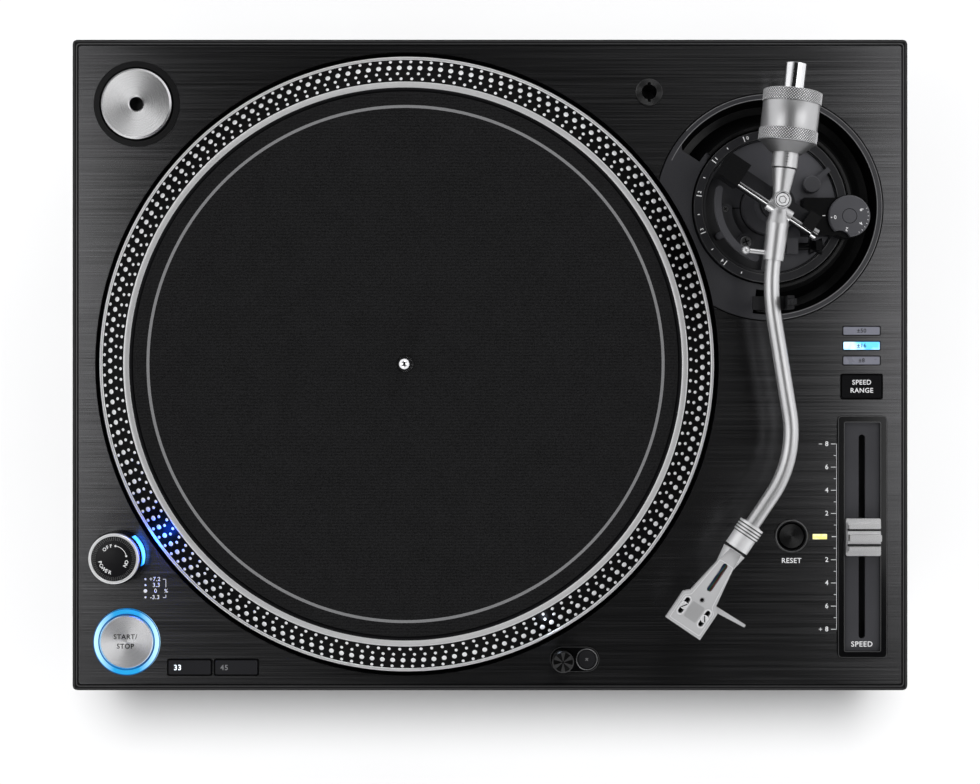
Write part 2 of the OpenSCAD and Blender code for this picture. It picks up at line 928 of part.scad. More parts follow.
module power_knob() {
    low = deck_z + pedestal_h + gap;
    high = deck_z + knob_h;
    color("#c4c4c6") translate([knob_x, knob_y, 0]) {
        difference() {
            eased_disc(knob_cap_r, low, high - low, 0.8);
            disc(knob_cap_r - 2, high - 0.6, 2);
        }
        disc(knob_stem_r, plate_z, low - plate_z + eps);
    }
}

module start_stop_ring() {
    inner = start_ring_r;
    color("#5fd0f5") translate([start_x, start_y, 0]) {
        tube(inner + start_ring, inner, plate_top, panel_t);
        rotate_extrude() polygon([
            [inner, deck_z - eps], [inner + start_ring, deck_z - eps],
            [inner + start_ring - 0.5, deck_z + 0.6], [inner + 0.3, deck_z + 0.6]]);
    }
}

// A round push button with its stem
module round_button(x, y, r, rise) {
    top = deck_z + rise;
    translate([x, y, 0]) {
        eased_disc(r, top - cap_depth, cap_depth, 0.5);
        disc(stem_r, top - cap_depth - stem_len, stem_len + eps);
    }
}

// A rectangular push button with its stem
module flat_button(x, y, w, d, rise) {
    top = deck_z + rise;
    translate([x, y, 0]) {
        block(w, d, button_corner, top - cap_depth, cap_depth);
        disc(stem_r, top - cap_depth - stem_len, stem_len + eps);
    }
}

module start_stop_button() {
    color("#cfcfd1") round_button(start_x, start_y, start_r, start_rise);
}

module speed_button_33() {
    color("#2b2b2d") flat_button(speed_33_x, speed_y, speed_w, speed_d, speed_rise);
}

module speed_button_45() {
    color("#2b2b2d") flat_button(speed_45_x, speed_y, speed_w, speed_d, speed_rise);
}

module tempo_range_button() {
    color("#1c1c1e") flat_button(range_x, range_y, range_w, range_d, speed_rise);
}

module reset_button() {
    color("#1c1c1e") round_button(reset_x, reset_y, reset_r, 0.3);
}

module light_button() {
    color("#38383a") round_button(light_button_x, light_y, light_button_r, 0.9);
}

module indicator_lamps() {
    color("#9fd8ff") {
        for (y = window_ys) translate([range_x, y, 0]) block(window_w, window_d, 0.5, plate_top, panel_t + 0.1);
        translate([lamp_x, lamp_y, 0]) block(lamp_w, lamp_d, 0.4, plate_top, panel_t + 0.1);
    }
}

module button_bezels() {
    pill_len = light_pill_d + light_button_x - light_x - 1.4;
    color("#2c2c2e") {
        translate([reset_x, reset_y, 0]) difference() {
            eased_disc(reset_bezel_r, deck_z, bezel_rise, 0.3);
            disc(reset_r + gap, deck_z - through, bezel_rise + 2 * through);
        }
        difference() {
            translate([(light_x + light_button_x) / 2, light_y, deck_z]) linear_extrude(bezel_rise)
                slot_shape(pill_len, light_pill_d);
            translate([light_x, light_y, 0]) disc(light_r + gap, deck_z - through, 2 * through + bezel_rise);
            translate([light_button_x, light_y, 0])
                disc(light_button_r + gap, deck_z - through, 2 * through + bezel_rise);
        }
    }
}

// The pop-up lamp, raised as the photo shows it
module stylus_lamp() {
    top = deck_z + light_h;
    low = plate_z - 6;
    color("#5a5a5d") translate([light_x, light_y, 0]) difference() {
        eased_disc(light_r, low, top - low, 0.6);
        translate([0, light_r, top - 4.5]) rotate([90, 0, 0]) cylinder(r = 2, h = 3);
    }
}

module slider_bezel() {
    inner_w = slider_w - 2 * slider_frame;
    inner_l = slider_len - 2 * slider_frame;
    color("#101011") translate([slider_x, slider_y, deck_z]) linear_extrude(slider_frame_rise)
        difference() {
            round_rect(slider_w, slider_len, slider_corner);
            round_rect(inner_w, inner_l, 1);
        }
}

module slider_plate() {
    w = slider_w - 2 * slider_frame;
    l = slider_len - 2 * slider_frame;
    color("#3c3c3f") translate([slider_x, slider_y, plate_top]) linear_extrude(slider_plate_t)
        difference() {
            round_rect(w, l, 0.9);
            rotate([0, 0, 90]) slot_shape(slider_slot_len, slider_slot_w);
        }
}

module slider_pot() {
    len = slider_slot_len + 7;
    color("#8c8c8f") translate([slider_x, slider_y, 0]) difference() {
        block(pot_w, len, 0.5, plate_top - pot_h, pot_h);
        block(pot_w - 2 * pot_wall, len - 2 * pot_wall, 0.5, plate_top - pot_h + pot_wall, pot_h - 2 * pot_wall);
        translate([0, 0, plate_top - 2 * pot_wall]) linear_extrude(3 * pot_wall)
            rotate([0, 0, 90]) slot_shape(slider_slot_len, slider_slot_w);
    }
}

module slider_cap() {
    low = deck_z + cap_base;
    color("#c2c2c4") translate([slider_x, slider_y, 0]) {
        block(cap_w, cap_len, 0.8, low, cap_foot_t);
        block(cap_w - cap_body_ease, cap_len - cap_body_step, 0.6, low, cap_body_h);
        block(cap_w - cap_ridge_ease, cap_ridge_w, 0.5, low, cap_h);
        for (s = [-1, 1]) translate([0, s * cap_side_ridge_y, 0])
            block(cap_w - cap_ridge_ease, cap_side_ridge_w, 0.5, low, cap_h - cap_side_ridge_drop);
        block(cap_stem_w, cap_stem_l, 0.4, plate_top - pot_h + pot_wall + 0.6, low - plate_top + pot_h - pot_wall);
    }
}

// The dish around the arm: a flange flush with the deck, a deep moat, a flat tongue on the
// platter's side and an inner lip around the height ring
module arm_dish() {
    inner = height_r + ring_gap;
    outer_low = dish_r + dish_wall;
    floor_z = dish_floor_z + dish_floor_t;
    color("#18181a") difference() {
        union() {
            translate([rest_x, rest_y, 0]) disc(rest_boss_r, floor_z, rest_boss_z - floor_z);
            dish_body(inner, outer_low, floor_z);
        }
        at_arm() translate([0, 0, plate_top + flange_t]) linear_extrude(deck_z)
            sector(2 * flange_r, tongue_from - 8, tongue_to + 8);
        at_platter() disc(well_r + well_wall + inlay, 0, plate_top);
        at_platter() disc(well_r, 0, 2 * deck_z);
    }
}

// The turned dish with its tongue, floor and guide
module dish_body(inner, outer_low, floor_z) {
    at_arm() {
        rotate_extrude() polygon([
            [inner, dish_floor_z], [outer_low, dish_floor_z], [outer_low, plate_top],
            [flange_r, plate_top], [flange_r, plate_top + flange_t],
            [dish_r + dish_lean, plate_top + flange_t], [dish_r, plate_top],
            for (p = dish_profile) [dish_r - p[0], dish_floor_z + p[1]],
            [inner + dish_lip_w, dish_lip_z], [inner, dish_lip_z]]);
        tongue(flange_r, inner, plate_top, flange_t);
        tongue(outer_low, inner, dish_floor_z, plate_top - dish_floor_z + eps);
        tongue_corner(dish_floor_z, plate_top + flange_t - dish_floor_z);
        tube(inner + eps, base_stem_r + running, dish_floor_z, dish_floor_t);
        tube(guide_r, base_stem_r + running, guide_bottom, dish_floor_z - guide_bottom + eps);
    }
}

// The flat part of the dish between the arm and the platter
module tongue(outer, inner, z, h) {
    intersection() {
        tube(outer, inner, z, h);
        translate([0, 0, z]) linear_extrude(h) sector(2 * flange_r, tongue_from, tongue_to);
    }
}

// The round corner where the tongue's rear edge meets the dish's wall. Its circle runs a little
// past both, so that it crosses them cleanly.
module tongue_corner(z, h) {
    f = tongue_fillet;
    reach = f - fillet_bite;
    turn = asin(reach / (dish_r - reach));
    middle = (dish_r - reach) * [cos(turn), -sin(turn)];
    rotate([0, 0, tongue_from]) translate([0, 0, z]) linear_extrude(h) difference() {
        polygon([[middle[0], eps], [dish_r + 1, eps], (dish_r + 1) * [cos(turn), -sin(turn)], middle]);
        translate(middle) circle(f);
    }
}

module height_ring() {
    color("#343437") at_arm() difference() {
        tube(height_r, height_in, height_z, height_top - height_z);
        for (a = [0:20:200])
            rotate([0, 0, notch_from + a]) translate([height_r, 0, height_top])
                cube([2 * notch_w, notch_w, 2 * notch_w], center = true);
    }
}

module arm_base() {
    color("#3b3b3e") {
        base_body();
        at_arm() pocket_plate();
    }
}

// The curved plate in the base's pocket, with a crossed screw on a boss at its end
module pocket_plate() {
    middle = (kidney_in + kidney_out) / 2;
    half = (kidney_out - kidney_in) / 2;
    boss_top = pocket_z + kidney_boss_h;
    rotate([0, 0, kidney_from]) {
        rotate_extrude(angle = kidney_to - kidney_from)
            translate([kidney_in, pocket_z - eps]) square([2 * half, kidney_h]);
        translate([middle, 0, 0]) disc(half, pocket_z - eps, kidney_h);
    }
    rotate([0, 0, kidney_to]) translate([middle, 0, 0]) {
        disc(kidney_boss_r, pocket_z - eps, kidney_boss_h);
        difference() {
            disc(kidney_screw_r, boss_top - 2 * eps, 2 * kidney_screw_slot);
            for (a = [0, 90]) rotate([0, 0, a]) translate([0, 0, boss_top + 2 * kidney_screw_slot])
                cube([1.4 * kidney_screw_r, kidney_screw_slot, 2 * kidney_screw_slot], center = true);
        }
    }
}

// The base without its pocket plate
module base_body() {
    difference() {
        union() {
            at_arm() {
                disc(base_r, base_bottom, base_top - base_bottom);
                disc(base_stem_r, base_stem_bottom, base_bottom - base_stem_bottom + eps);
                disc(pillar_ring_r, base_top - eps, pillar_ring_h);
                disc(pillar_r, base_top, pillar_top - base_top);
            }
            translate([cue_lug_x, cue_y - cue_r - 2, base_top - eps])
                cube([cue_lug_w, 2 * cue_r + 4, cue_z - base_top + cue_r + 2]);
        }
        at_arm() {
            disc(swing_shaft_r + running, swing_shaft_z - 1, deck_z);
            difference() {
                translate([0, 0, pocket_z]) linear_extrude(deck_z) sector(2 * base_r, pocket_from, pocket_to);
                disc(pillar_ring_r, 0, 2 * deck_z);
                tube(2 * base_r, base_r - pocket_rim, 0, 2 * deck_z);
            }
            rotate([0, 0, rail_post_a]) translate([(rail_in + rail_out) / 2, 0, 0])
                disc(rail_post_r + running, base_bottom - through, deck_z);
        }
        translate([lock_x, lock_y, 0]) disc(lock_stem_r + running, base_top - 6, deck_z);
        translate([cue_lug_x - through, cue_y, cue_z]) rotate([0, 90, 0])
            cylinder(r = cue_r + running, h = cue_lug_w + 2 * through);
    }
}

module anti_skate_housing() {
    reach = skate_x - skate_foot_x;
    color("#1f1f21") difference() {
        union() {
            translate([skate_foot_x, skate_y - skate_w / 2, skate_z])
                cube([reach, skate_w, skate_top - skate_z]);
            translate([skate_foot_x, skate_y - skate_w / 2 + 3, base_top])
                cube([skate_foot_end - skate_foot_x, skate_w - 6, skate_z - base_top + eps]);
            translate([skate_x, skate_y, 0]) disc(skate_boss_r, skate_z, skate_top - skate_z);
        }
        translate([skate_x, skate_y, 0]) disc(stem_r + running, skate_top - 6, deck_z);
        at_arm() disc(pillar_ring_r + gap, 0, 2 * deck_z);
    }
}

module anti_skate_dial() {
    low = skate_top + 0.2;
    color("#2a2a2c") translate([skate_x, skate_y, 0]) {
        difference() {
            eased_disc(skate_dial_r, low, skate_dial_t, 0.6);
            rotate([0, 0, 250]) translate([skate_dial_r + 3.5, 0, 0]) disc(6, low - through, 2 * skate_dial_t);
            tube(skate_button_r + 0.3, skate_button_r, low + skate_dial_t - 0.6, 2);
        }
        disc(stem_r, skate_top - 5, 5 + 0.2 + eps);
    }
}

module lock_knob() {
    color("#303033") translate([lock_x, lock_y, 0]) {
        eased_disc(lock_r, base_top + 0.2, lock_h, 0.6);
        rotate([0, 0, lock_lever_a]) translate([0, -lock_lever_w / 2, height_top + gap])
            cube([lock_lever_l, lock_lever_w, 2]);
        disc(lock_stem_r, base_top - 5, 5 + 0.2 + eps);
    }
}

module cue_lever() {
    color("#0f0f10") translate([0, cue_y, cue_z]) {
        translate([cue_from, 0, 0]) rotate([0, 90, 0]) cylinder(r = cue_r, h = cue_to - cue_from + 1);
        translate([cue_to, 0, 0]) rotate([0, 90, 0]) {
            cylinder(r1 = cue_hub_r, r2 = cue_hub_r - 1.6, h = cue_hub_w / 2);
            translate([0, 0, cue_hub_w / 2]) cylinder(r1 = cue_hub_r - 1.6, r2 = cue_hub_r, h = cue_hub_w / 2);
        }
        translate([cue_to + (cue_hub_w - cue_blade_t) / 2, -2.5, 0]) cube([cue_blade_t, 5, cue_blade_h]);
    }
}

module lift_rail() {
    mid = (rail_in + rail_out) / 2;
    half = (rail_out - rail_in) / 2;
    color("#161617") at_arm() {
        translate([0, 0, rail_top - rail_h]) {
            rotate([0, 0, rail_from]) rotate_extrude(angle = rail_to - rail_from)
                translate([rail_in, 0]) square([2 * half, rail_h]);
            for (a = [rail_from, rail_to]) rotate([0, 0, a]) translate([mid, 0, 0]) cylinder(r = half, h = rail_h);
        }
        rotate([0, 0, rail_post_a]) translate([mid, 0, 0])
            disc(rail_post_r, base_bottom + 1, rail_top - rail_h - base_bottom - 1 + eps);
    }
}

// The yoke swings on the pillar: a cross bar, an upright at each end and a shaft below
module gimbal_yoke() {
    color("#19191b") difference() {
        at_arm() {
            rotate([0, 0, bar_heading]) {
                translate([-right_block_to, -bar_w / 2, bar_z])
                    cube([right_block_to + left_block_from + 1, bar_w, bar_t]);
                translate([left_block_from, -left_block_w / 2, bar_z])
                    cube([left_block_to - left_block_from, left_block_w, block_top - bar_z]);
                translate([-right_block_to, -right_block_w / 2, bar_z])
                    cube([right_block_to - right_block_from, right_block_w, block_top - bar_z]);
            }
            disc(pillar_r, bar_z, bar_t);
            disc(swing_shaft_r, swing_shaft_z, bar_z - swing_shaft_z + eps);
        }
        on_lift_axis() cylinder(r = pivot_pin_r + running, h = 4 * left_block_to, center = true);
    }
}

// Children's +Z runs along the arm's level axis, towards the left upright
module on_lift_axis() {
    translate([lift_at[0], lift_at[1], arm_z]) rotate([0, 0, bar_heading]) rotate([0, 90, 0]) children();
}

module pivot_pins() {
    shift = lift_ahead * cos(arm_heading - bar_heading);
    left_tip = pivot_boss_half - pivot_pin_grip;
    left_end = left_block_to - shift;
    right_end = right_block_to + shift + pivot_knob_t;
    color("#d8d8da") on_lift_axis() {
        translate([0, 0, left_tip]) cylinder(r = pivot_pin_r, h = left_end - left_tip);
        translate([0, 0, -right_end]) cylinder(r = pivot_pin_r, h = right_end - left_tip);
        translate([0, 0, -right_end]) cylinder(r = pivot_knob_r, h = pivot_knob_t - 0.2);
    }
}

module arm_block() {
    color("#c8c8ca") difference() {
        union() {
            on_arm() {
                arm_length(shaft_end, sleeve_from + eps, shaft_r, shaft_r);
                arm_length(sleeve_from, sleeve_to, sleeve_end_r, sleeve_end_r);
                arm_length(sleeve_to - eps, neck_to + eps, shaft_r, shaft_r);
                arm_length(neck_to, core_from, cone_r, core_r);
                arm_length(core_from - eps, core_to + eps, core_r, core_r);
                arm_length(core_to, collar_at, core_r, collar_r);
                arm_length(collar_at - eps, collar_step, collar_r, collar_step_r);
                arm_length(collar_step - eps, collar_to, collar_step_r, collar_end_r);
                translate([0, 0, lift_pin_s]) rotate([90, 0, 0]) cylinder(r = lift_pin_r, h = lift_pin_l);
                translate([0, -lift_pin_l, lift_pin_s]) sphere(lift_ball_r, $fn = 48);
            }
            on_lift_axis() cylinder(r = pivot_boss_r, h = 2 * pivot_boss_half, center = true);
            at_arm() {
                disc(cap_ring_r, arm_z, core_r + cap_ring_h);
                disc(cap_screw_r, arm_z, core_r + cap_ring_h + 1.4);
            }
        }
        on_lift_axis() for (s = [-1, 1])
            translate([0, 0, s * pivot_boss_half]) cylinder(r = pivot_pin_r + running,
                h = 2 * pivot_pin_grip + 0.4, center = true);
        on_arm() {
            translate([0, 0, tube_from - 0.2]) cylinder(r = tube_r + running, h = collar_to);
            arm_length(shaft_end - through, shaft_bore_to, shaft_bore, shaft_bore);
        }
        at_arm() translate([0, 0, arm_z + core_r + cap_ring_h + 0.8])
            cube([1, 2 * cap_screw_r + 1, 1.6], center = true);
    }
}

// A hollow length of tube along +Z, a hair short at both ends, where the joints bridge it
module pipe(len) {
    tube(tube_r, tube_r - tube_wall, joint_slack, len - 2 * joint_slack);
}

// A hollow bend of the given radius, turning by angle
module pipe_bend(bend, angle) {
    rotate_extrude(angle = angle, $fn = 180) translate([bend, 0]) difference() {
        circle(tube_r, $fn = 48);
        circle(tube_r - tube_wall, $fn = 48);
    }
}

// A brazed joint between two lengths of tube, at a place and a heading
module pipe_joint(p, a) {
    translate([p[0], p[1], arm_z]) rotate([0, 0, a]) rotate([0, 90, 0])
        tube(tube_r + joint_bead, tube_r - tube_wall - joint_bead, -joint_len / 2, joint_len);
}

// The tube: straight, a gentle bend, straight, a tighter bend, straight, then the socket
module arm_tube() {
    first_len = collar_to + 0.4 - tube_from;
    color("#cfcfd1") {
        on_arm() translate([0, 0, tube_from]) pipe(first_len);
        translate([bend_1_centre[0], bend_1_centre[1], arm_z]) rotate([0, 0, arm_heading - 90])
            pipe_bend(bend_1, turn_1);
        translate([bend_1_end[0], bend_1_end[1], arm_z]) rotate([0, 0, middle_heading])
            rotate([0, 90, 0]) pipe(middle_len);
        translate([bend_2_centre[0], bend_2_centre[1], arm_z]) rotate([0, 0, shell_heading + 90])
            pipe_bend(bend_2, turn_2);
        on_nose() translate([0, 0, -nose_len]) pipe(nose_len);
        pipe_joint(bend_1_start, arm_heading);
        pipe_joint(bend_1_end, middle_heading);
        pipe_joint(bend_2_start, middle_heading);
        pipe_joint(bend_2_end, shell_heading);
        on_nose() difference() {
            translate([0, 0, -0.5]) cylinder(r = socket_out, h = socket_len + 0.5);
            translate([0, 0, -through]) cylinder(r = plug_r - 1, h = 3 + 2 * through);
            translate([0, 0, 3]) cylinder(r = plug_r + running, h = socket_len);
        }
    }
}

module locking_collar() {
    ribs = [2, 3.6, 5.2];
    color("#bdbdbf") on_nose() difference() {
        union() {
            cylinder(r = collar_out, h = collar_len);
            for (s = ribs) translate([0, 0, s]) cylinder(r = collar_rib, h = 0.9);
            cylinder(r = collar_rib, h = 1.2);
        }
        translate([0, 0, -through]) cylinder(r = socket_out + running, h = collar_len + 2 * through);
    }
}

// Outline of the headshell's plate, along +X
module shell_outline() {
    back = shell_front - wide_len;
    polygon([
        [shell_from, -3.4], [shell_from + 12, -neck_w / 2 + 2.8], [back - 3, -neck_w / 2],
        [back, -shell_w / 2], [shell_front, -shell_w / 2], [shell_front, shell_w / 2],
        [back, shell_w / 2], [back - 3, neck_w / 2], [shell_from + 12, neck_w / 2 - 2.8],
        [shell_from, 3.4]]);
}

module headshell() {
    color("#a9adb0") on_shell() {
        difference() {
            union() {
                translate([0, 0, shell_top - shell_t]) linear_extrude(shell_t) shell_outline();
                rotate([0, 90, 0]) {
                    translate([0, 0, shell_from]) cylinder(r1 = neck_r, r2 = 3.2, h = 19);
                    translate([0, 0, collar_len + 0.3]) cylinder(r = socket_out, h = 2);
                    translate([0, 0, 5]) cylinder(r = plug_r, h = shell_from - 4);
                }
            }
            translate([0, 0, shell_top]) linear_extrude(2 * neck_r) shell_outline();
            for (s = [-1, 1]) translate([screw_at, s * screw_pitch / 2, -neck_r])
                linear_extrude(2 * neck_r) slot_shape(slot_len, slot_w);
            translate([shell_from + 8 + window_len / 2, 0, -2 * neck_r])
                linear_extrude(4 * neck_r) slot_shape(window_len, window_wd);
            translate([screw_at - 7.4, 0, -neck_r]) cylinder(r = 1.1, h = 2 * neck_r);
        }
        for (s = [-1, 1]) translate([screw_at, s * screw_pitch / 2, shell_top - shell_t])
            cylinder(r = slot_w / 2 - 0.05, h = shell_t + 0.6);
        finger_lift();
    }
}

module finger_lift() {
    z = -0.4;
    translate([shell_front - wide_len - 1.5, neck_w / 2 - 0.3, z]) rotate([0, 0, 4])
        linear_extrude(finger_t) polygon([
            [-finger_w / 2, 0], [finger_w / 2, 0], [finger_w / 4, finger_len], [-finger_w / 4, finger_len]]);
}

module cartridge() {
    top = shell_top - shell_t - cart_gap;
    front = shell_front + 1.2;
    tip_x = shell_front - 1;
    color("#26262a") on_shell() {
        difference() {
            translate([front - cart_len, -cart_w / 2, top - cart_h]) cube([cart_len, cart_w, cart_h]);
            translate([front - 6, -cart_w, top - cart_h - 1]) rotate([0, -38, 0]) translate([0, 0, -9])
                cube([14, 2 * cart_w, 14]);
        }
        translate([tip_x - 5, 0, top - cart_h + 0.6]) rotate([0, 118, 0]) cylinder(r = 0.5, h = 4.6);
        translate([tip_x - 1.1, 0, -stylus_drop]) cylinder(r1 = 0.15, r2 = 0.5, h = stylus_drop - cart_h - 2.2);
    }
}

module weight_sleeve() {
    color("#4a4a4c") on_arm() difference() {
        arm_length(nut_from, nut_to, nut_r, nut_r);
        arm_length(nut_from - through, nut_to + through, shaft_r + running, shaft_r + running);
    }
}

module counterweight() {
    rib_len = knurl_len;
    body = weight_r;
    color("#c4c4c6") on_arm() difference() {
        union() {
            arm_length(weight_from, weight_to, body, body);
            arm_length(weight_from, weight_from + rib_len, body + knurl_extra, body + knurl_extra);
            arm_length(weight_to - rib_len, weight_to, body + knurl_extra, body + knurl_extra);
        }
        arm_length(weight_from - through, weight_to + through, nut_r + running, nut_r + running);
        arm_length(weight_from - through, weight_from + weight_recess, body - weight_rim, body - weight_rim);
    }
}

module pressure_dial() {
    low = weight_to + 0.2;
    color("#1a1a1c") on_arm() difference() {
        arm_length(low, low + dial_len, weight_r - 0.8, dial_front_r);
        arm_length(low - through, low + dial_len + through, sleeve_end_r + gap, sleeve_end_r + gap);
    }
}

module arm_rest() {
    cheek_x = rest_x + rest_w / 2 - rest_cheek;
    ear = (rest_d - clip_w) / 2 - gap;
    color("#151517") difference() {
        union() {
            translate([rest_x, rest_y, 0]) disc(rest_post_r, rest_boss_z, rest_low - rest_boss_z - 1);
            translate([rest_x - rest_w / 2, rest_y - rest_d / 2, rest_low - rest_bar_t])
                cube([rest_w, rest_d, rest_bar_t]);
            translate([cheek_x, rest_y - rest_d / 2, rest_low - rest_bar_t])
                cube([rest_cheek, rest_d, rest_high - rest_low + rest_bar_t]);
            for (s = [-1, 1])
                translate([cheek_x, rest_y + s * (rest_d - ear) / 2 - ear / 2, rest_high - eps])
                    cube([rest_cheek, ear, clip_pivot_z - rest_high + clip_knuckle]);
        }
        at_clip() rotate([90, 0, 0]) cylinder(r = clip_pin_r + running, h = 2 * rest_d, center = true);
    }
}

module at_clip() {
    translate([rest_x + (rest_w - rest_cheek) / 2, rest_y, clip_pivot_z]) children();
}

// The clip stands open; it closes over the tube by a quarter turn
module rest_clip() {
    color("#111112") at_clip() {
        rotate([90, 0, 0]) cylinder(r = clip_knuckle, h = clip_w, center = true);
        rotate([90, 0, 0]) cylinder(r = clip_pin_r, h = rest_d, center = true);
        translate([-clip_t / 2, -clip_w / 2, 0]) cube([clip_t, clip_w, clip_len]);
    }
}

module control_board() {
    color("#1f5a3a") translate([control_x[0], control_y[0], control_z])
        cube([control_x[1] - control_x[0], control_y[1] - control_y[0], board_t]);
}

module power_board() {
    color("#1f5a3a") {
        translate([power_x[0], power_y[0], power_z])
            cube([power_x[1] - power_x[0], power_y[1] - power_y[0], board_t]);
        for (x = capacitor_at) translate([power_x[0] + x, (power_y[0] + power_y[1]) / 2, 0])
            disc(capacitor_r, power_z + board_t - eps, capacitor_h);
    }
}

module power_transformer() {
    z = tray_z + tray_floor;
    s = trans_size;
    color("#7a6a50") translate([trans_at[0], trans_at[1], z]) {
        translate([0, 0, s[2] / 2]) cube([s[0] - trans_coil_in, s[1], s[2]], center = true);
        translate([0, 0, s[2] / 2])
            cube([s[0], s[1] - trans_core_in, s[2] - trans_core_drop], center = true);
        translate([0, 0, trans_foot_t / 2]) cube([s[0], s[1] - trans_foot_in, trans_foot_t], center = true);
    }
}

module signal_terminals() {
    s = jack_cup;
    back = body_d / 2;
    color("#303032") translate([jack_x, back, jack_z]) {
        difference() {
            translate([-s[0] / 2, -s[1], -s[2] / 2]) cube([s[0], s[1], s[2]]);
            translate([-s[0] / 2 + 1.5, -s[1] + 2, -s[2] / 2 + 1.5]) cube([s[0] - 3, s[1], s[2] - 3]);
        }
        for (x = [-jack_pitch / 2 - 6, jack_pitch / 2 - 6])
            translate([x, -s[1] + 2 - eps, 0]) rotate([-90, 0, 0]) difference() {
                cylinder(r = jack_r, h = jack_len);
                translate([0, 0, 2]) cylinder(r = jack_r - 0.8, h = jack_len);
            }
        translate([s[0] / 2 - 9, -s[1] + 2 - eps, 0]) rotate([-90, 0, 0]) {
            cylinder(r = 1.8, h = jack_len);
            translate([0, 0, 3]) cylinder(r = 4, h = 4);
        }
    }
}

module power_inlet() {
    s = inlet_size;
    color("#1b1b1d") translate([inlet_x, body_d / 2, inlet_z]) difference() {
        translate([-s[0] / 2, -s[1], -s[2] / 2]) cube([s[0], s[1], s[2]]);
        translate([0, 1, 0]) rotate([90, 0, 0]) linear_extrude(inlet_depth + 1)
            slot_shape(inlet_hole[0], inlet_hole[1]);
    }
}

module foot(sx, sy) {
    color("#222224") foot_at(sx, sy) {
        disc(foot_r - 4, 0, pad_t);
        disc(foot_r, pad_t, foot_h - gap - pad_t - 3);
        translate([0, 0, foot_h - gap - 3 - eps]) cylinder(r1 = foot_r, r2 = foot_r - 3, h = 3);
        disc(stud_r, foot_h - gap - eps, stud_top - foot_h + gap - 1);
    }
}

module foot_front_left() { foot(-1, -1); }
module foot_front_right() { foot(1, -1); }
module foot_rear_left() { foot(-1, 1); }
module foot_rear_right() { foot(1, 1); }

rubber_base();
base_tray();
chassis_shell();
top_panel();
base_screws();
motor_stator();
bearing_housing();
control_board();
power_board();
power_transformer();
signal_terminals();
power_inlet();
adapter_cup();
accessory_socket();
strobe_housing();
strobe_lens();
start_stop_ring();
indicator_lamps();
slider_bezel();
slider_plate();
slider_pot();
button_bezels();
arm_dish();
arm_rest();
platter();
slipmat();
rotor_magnet();
spindle();
adapter_45();
power_knob();
start_stop_button();
speed_button_33();
speed_button_45();
tempo_range_button();
reset_button();
light_button();
stylus_lamp();
slider_cap();
height_ring();
arm_base();
anti_skate_housing();
anti_skate_dial();
lock_knob();
cue_lever();
lift_rail();
gimbal_yoke();
pivot_pins();
arm_block();
arm_tube();
locking_collar();
headshell();
cartridge();
weight_sleeve();
counterweight();
pressure_dial();
rest_clip();
foot_front_left();
foot_front_right();
foot_rear_left();
foot_rear_right();
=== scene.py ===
import json
import math

import bmesh
import bpy
import numpy as np
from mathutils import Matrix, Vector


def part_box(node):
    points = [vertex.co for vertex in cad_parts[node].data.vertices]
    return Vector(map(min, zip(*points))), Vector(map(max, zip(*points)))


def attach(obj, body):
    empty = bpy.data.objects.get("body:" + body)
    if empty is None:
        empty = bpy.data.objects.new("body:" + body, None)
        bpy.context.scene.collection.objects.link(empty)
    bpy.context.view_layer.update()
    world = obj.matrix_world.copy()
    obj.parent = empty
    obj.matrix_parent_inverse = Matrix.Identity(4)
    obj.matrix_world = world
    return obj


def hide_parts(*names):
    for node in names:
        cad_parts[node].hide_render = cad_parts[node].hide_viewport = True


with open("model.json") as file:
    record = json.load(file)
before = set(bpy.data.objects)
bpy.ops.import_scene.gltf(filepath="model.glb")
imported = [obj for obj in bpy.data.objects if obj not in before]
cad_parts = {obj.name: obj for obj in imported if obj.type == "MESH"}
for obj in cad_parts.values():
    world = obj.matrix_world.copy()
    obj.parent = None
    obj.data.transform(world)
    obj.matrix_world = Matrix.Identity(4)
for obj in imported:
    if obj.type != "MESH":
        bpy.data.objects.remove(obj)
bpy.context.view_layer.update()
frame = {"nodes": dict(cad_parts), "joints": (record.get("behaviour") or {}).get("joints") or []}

bl_info = {
    "name": "Turntable Dresser",
    "version": (1, 0, 0),
    "blender": (4, 5, 0),
    "location": "3D View > Sidebar > Turntable",
    "description": "Gives the packed turntable its finishes, printed scales, knurls, felt and strobe dots",
    "category": "Object",
}

NODES = frame["nodes"]
MM = 0.001


# Places taken from the frame, in millimetres

def low(node):
    """The lowest corner of a CAD node."""
    return np.array(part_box(node)[0]) / MM


def high(node):
    """The highest corner of a CAD node."""
    return np.array(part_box(node)[1]) / MM


def middle(node):
    """The centre of a CAD node's box."""
    return (low(node) + high(node)) / 2


def radius_of(node, centre):
    """How far a round CAD node reaches from a centre, along X."""
    return high(node)[0] - centre[0]


def joint(name):
    """The frame's joint of that name."""
    return next(j for j in frame["joints"] if j["name"] == name)


def pivot(name):
    """The place of a joint."""
    return np.array(joint(name)["pos_m"]) / MM


def axis(name):
    """The direction of a joint."""
    return np.array(joint(name)["axis"])


DECK = high("top_panel")[2]
PLATTER = middle("platter")
RIM_R = radius_of("platter", PLATTER)
ARM = pivot("arm_swing")
ARM_Z = pivot("arm_lift")[2]
ARM_WAY = axis("weight_turn")
SHELL_AT = pivot("collar_turn")
SHELL_WAY = axis("collar_turn")
UP = np.array([0.0, 0.0, 1.0])

# Heights and lengths inside CAD nodes, which their boxes don't give
BAND_FOOT = DECK + 2.7
PLATTER_TOP = DECK + 16.3
MAT_HOLE = 4.5
MAT_LINE = (136.45, 138.0)
POCKET = DECK - 3
PLATE_STEP = DECK + 2
RING_STEP = DECK + 3
BASE_SCREW_TOP = DECK + 3.6
YOKE_STEP = 11.7
CAP_SCREW_TOP = ARM_Z + 7.9
SLIDER_TRAVEL = 50.2


# Settings that a user would change

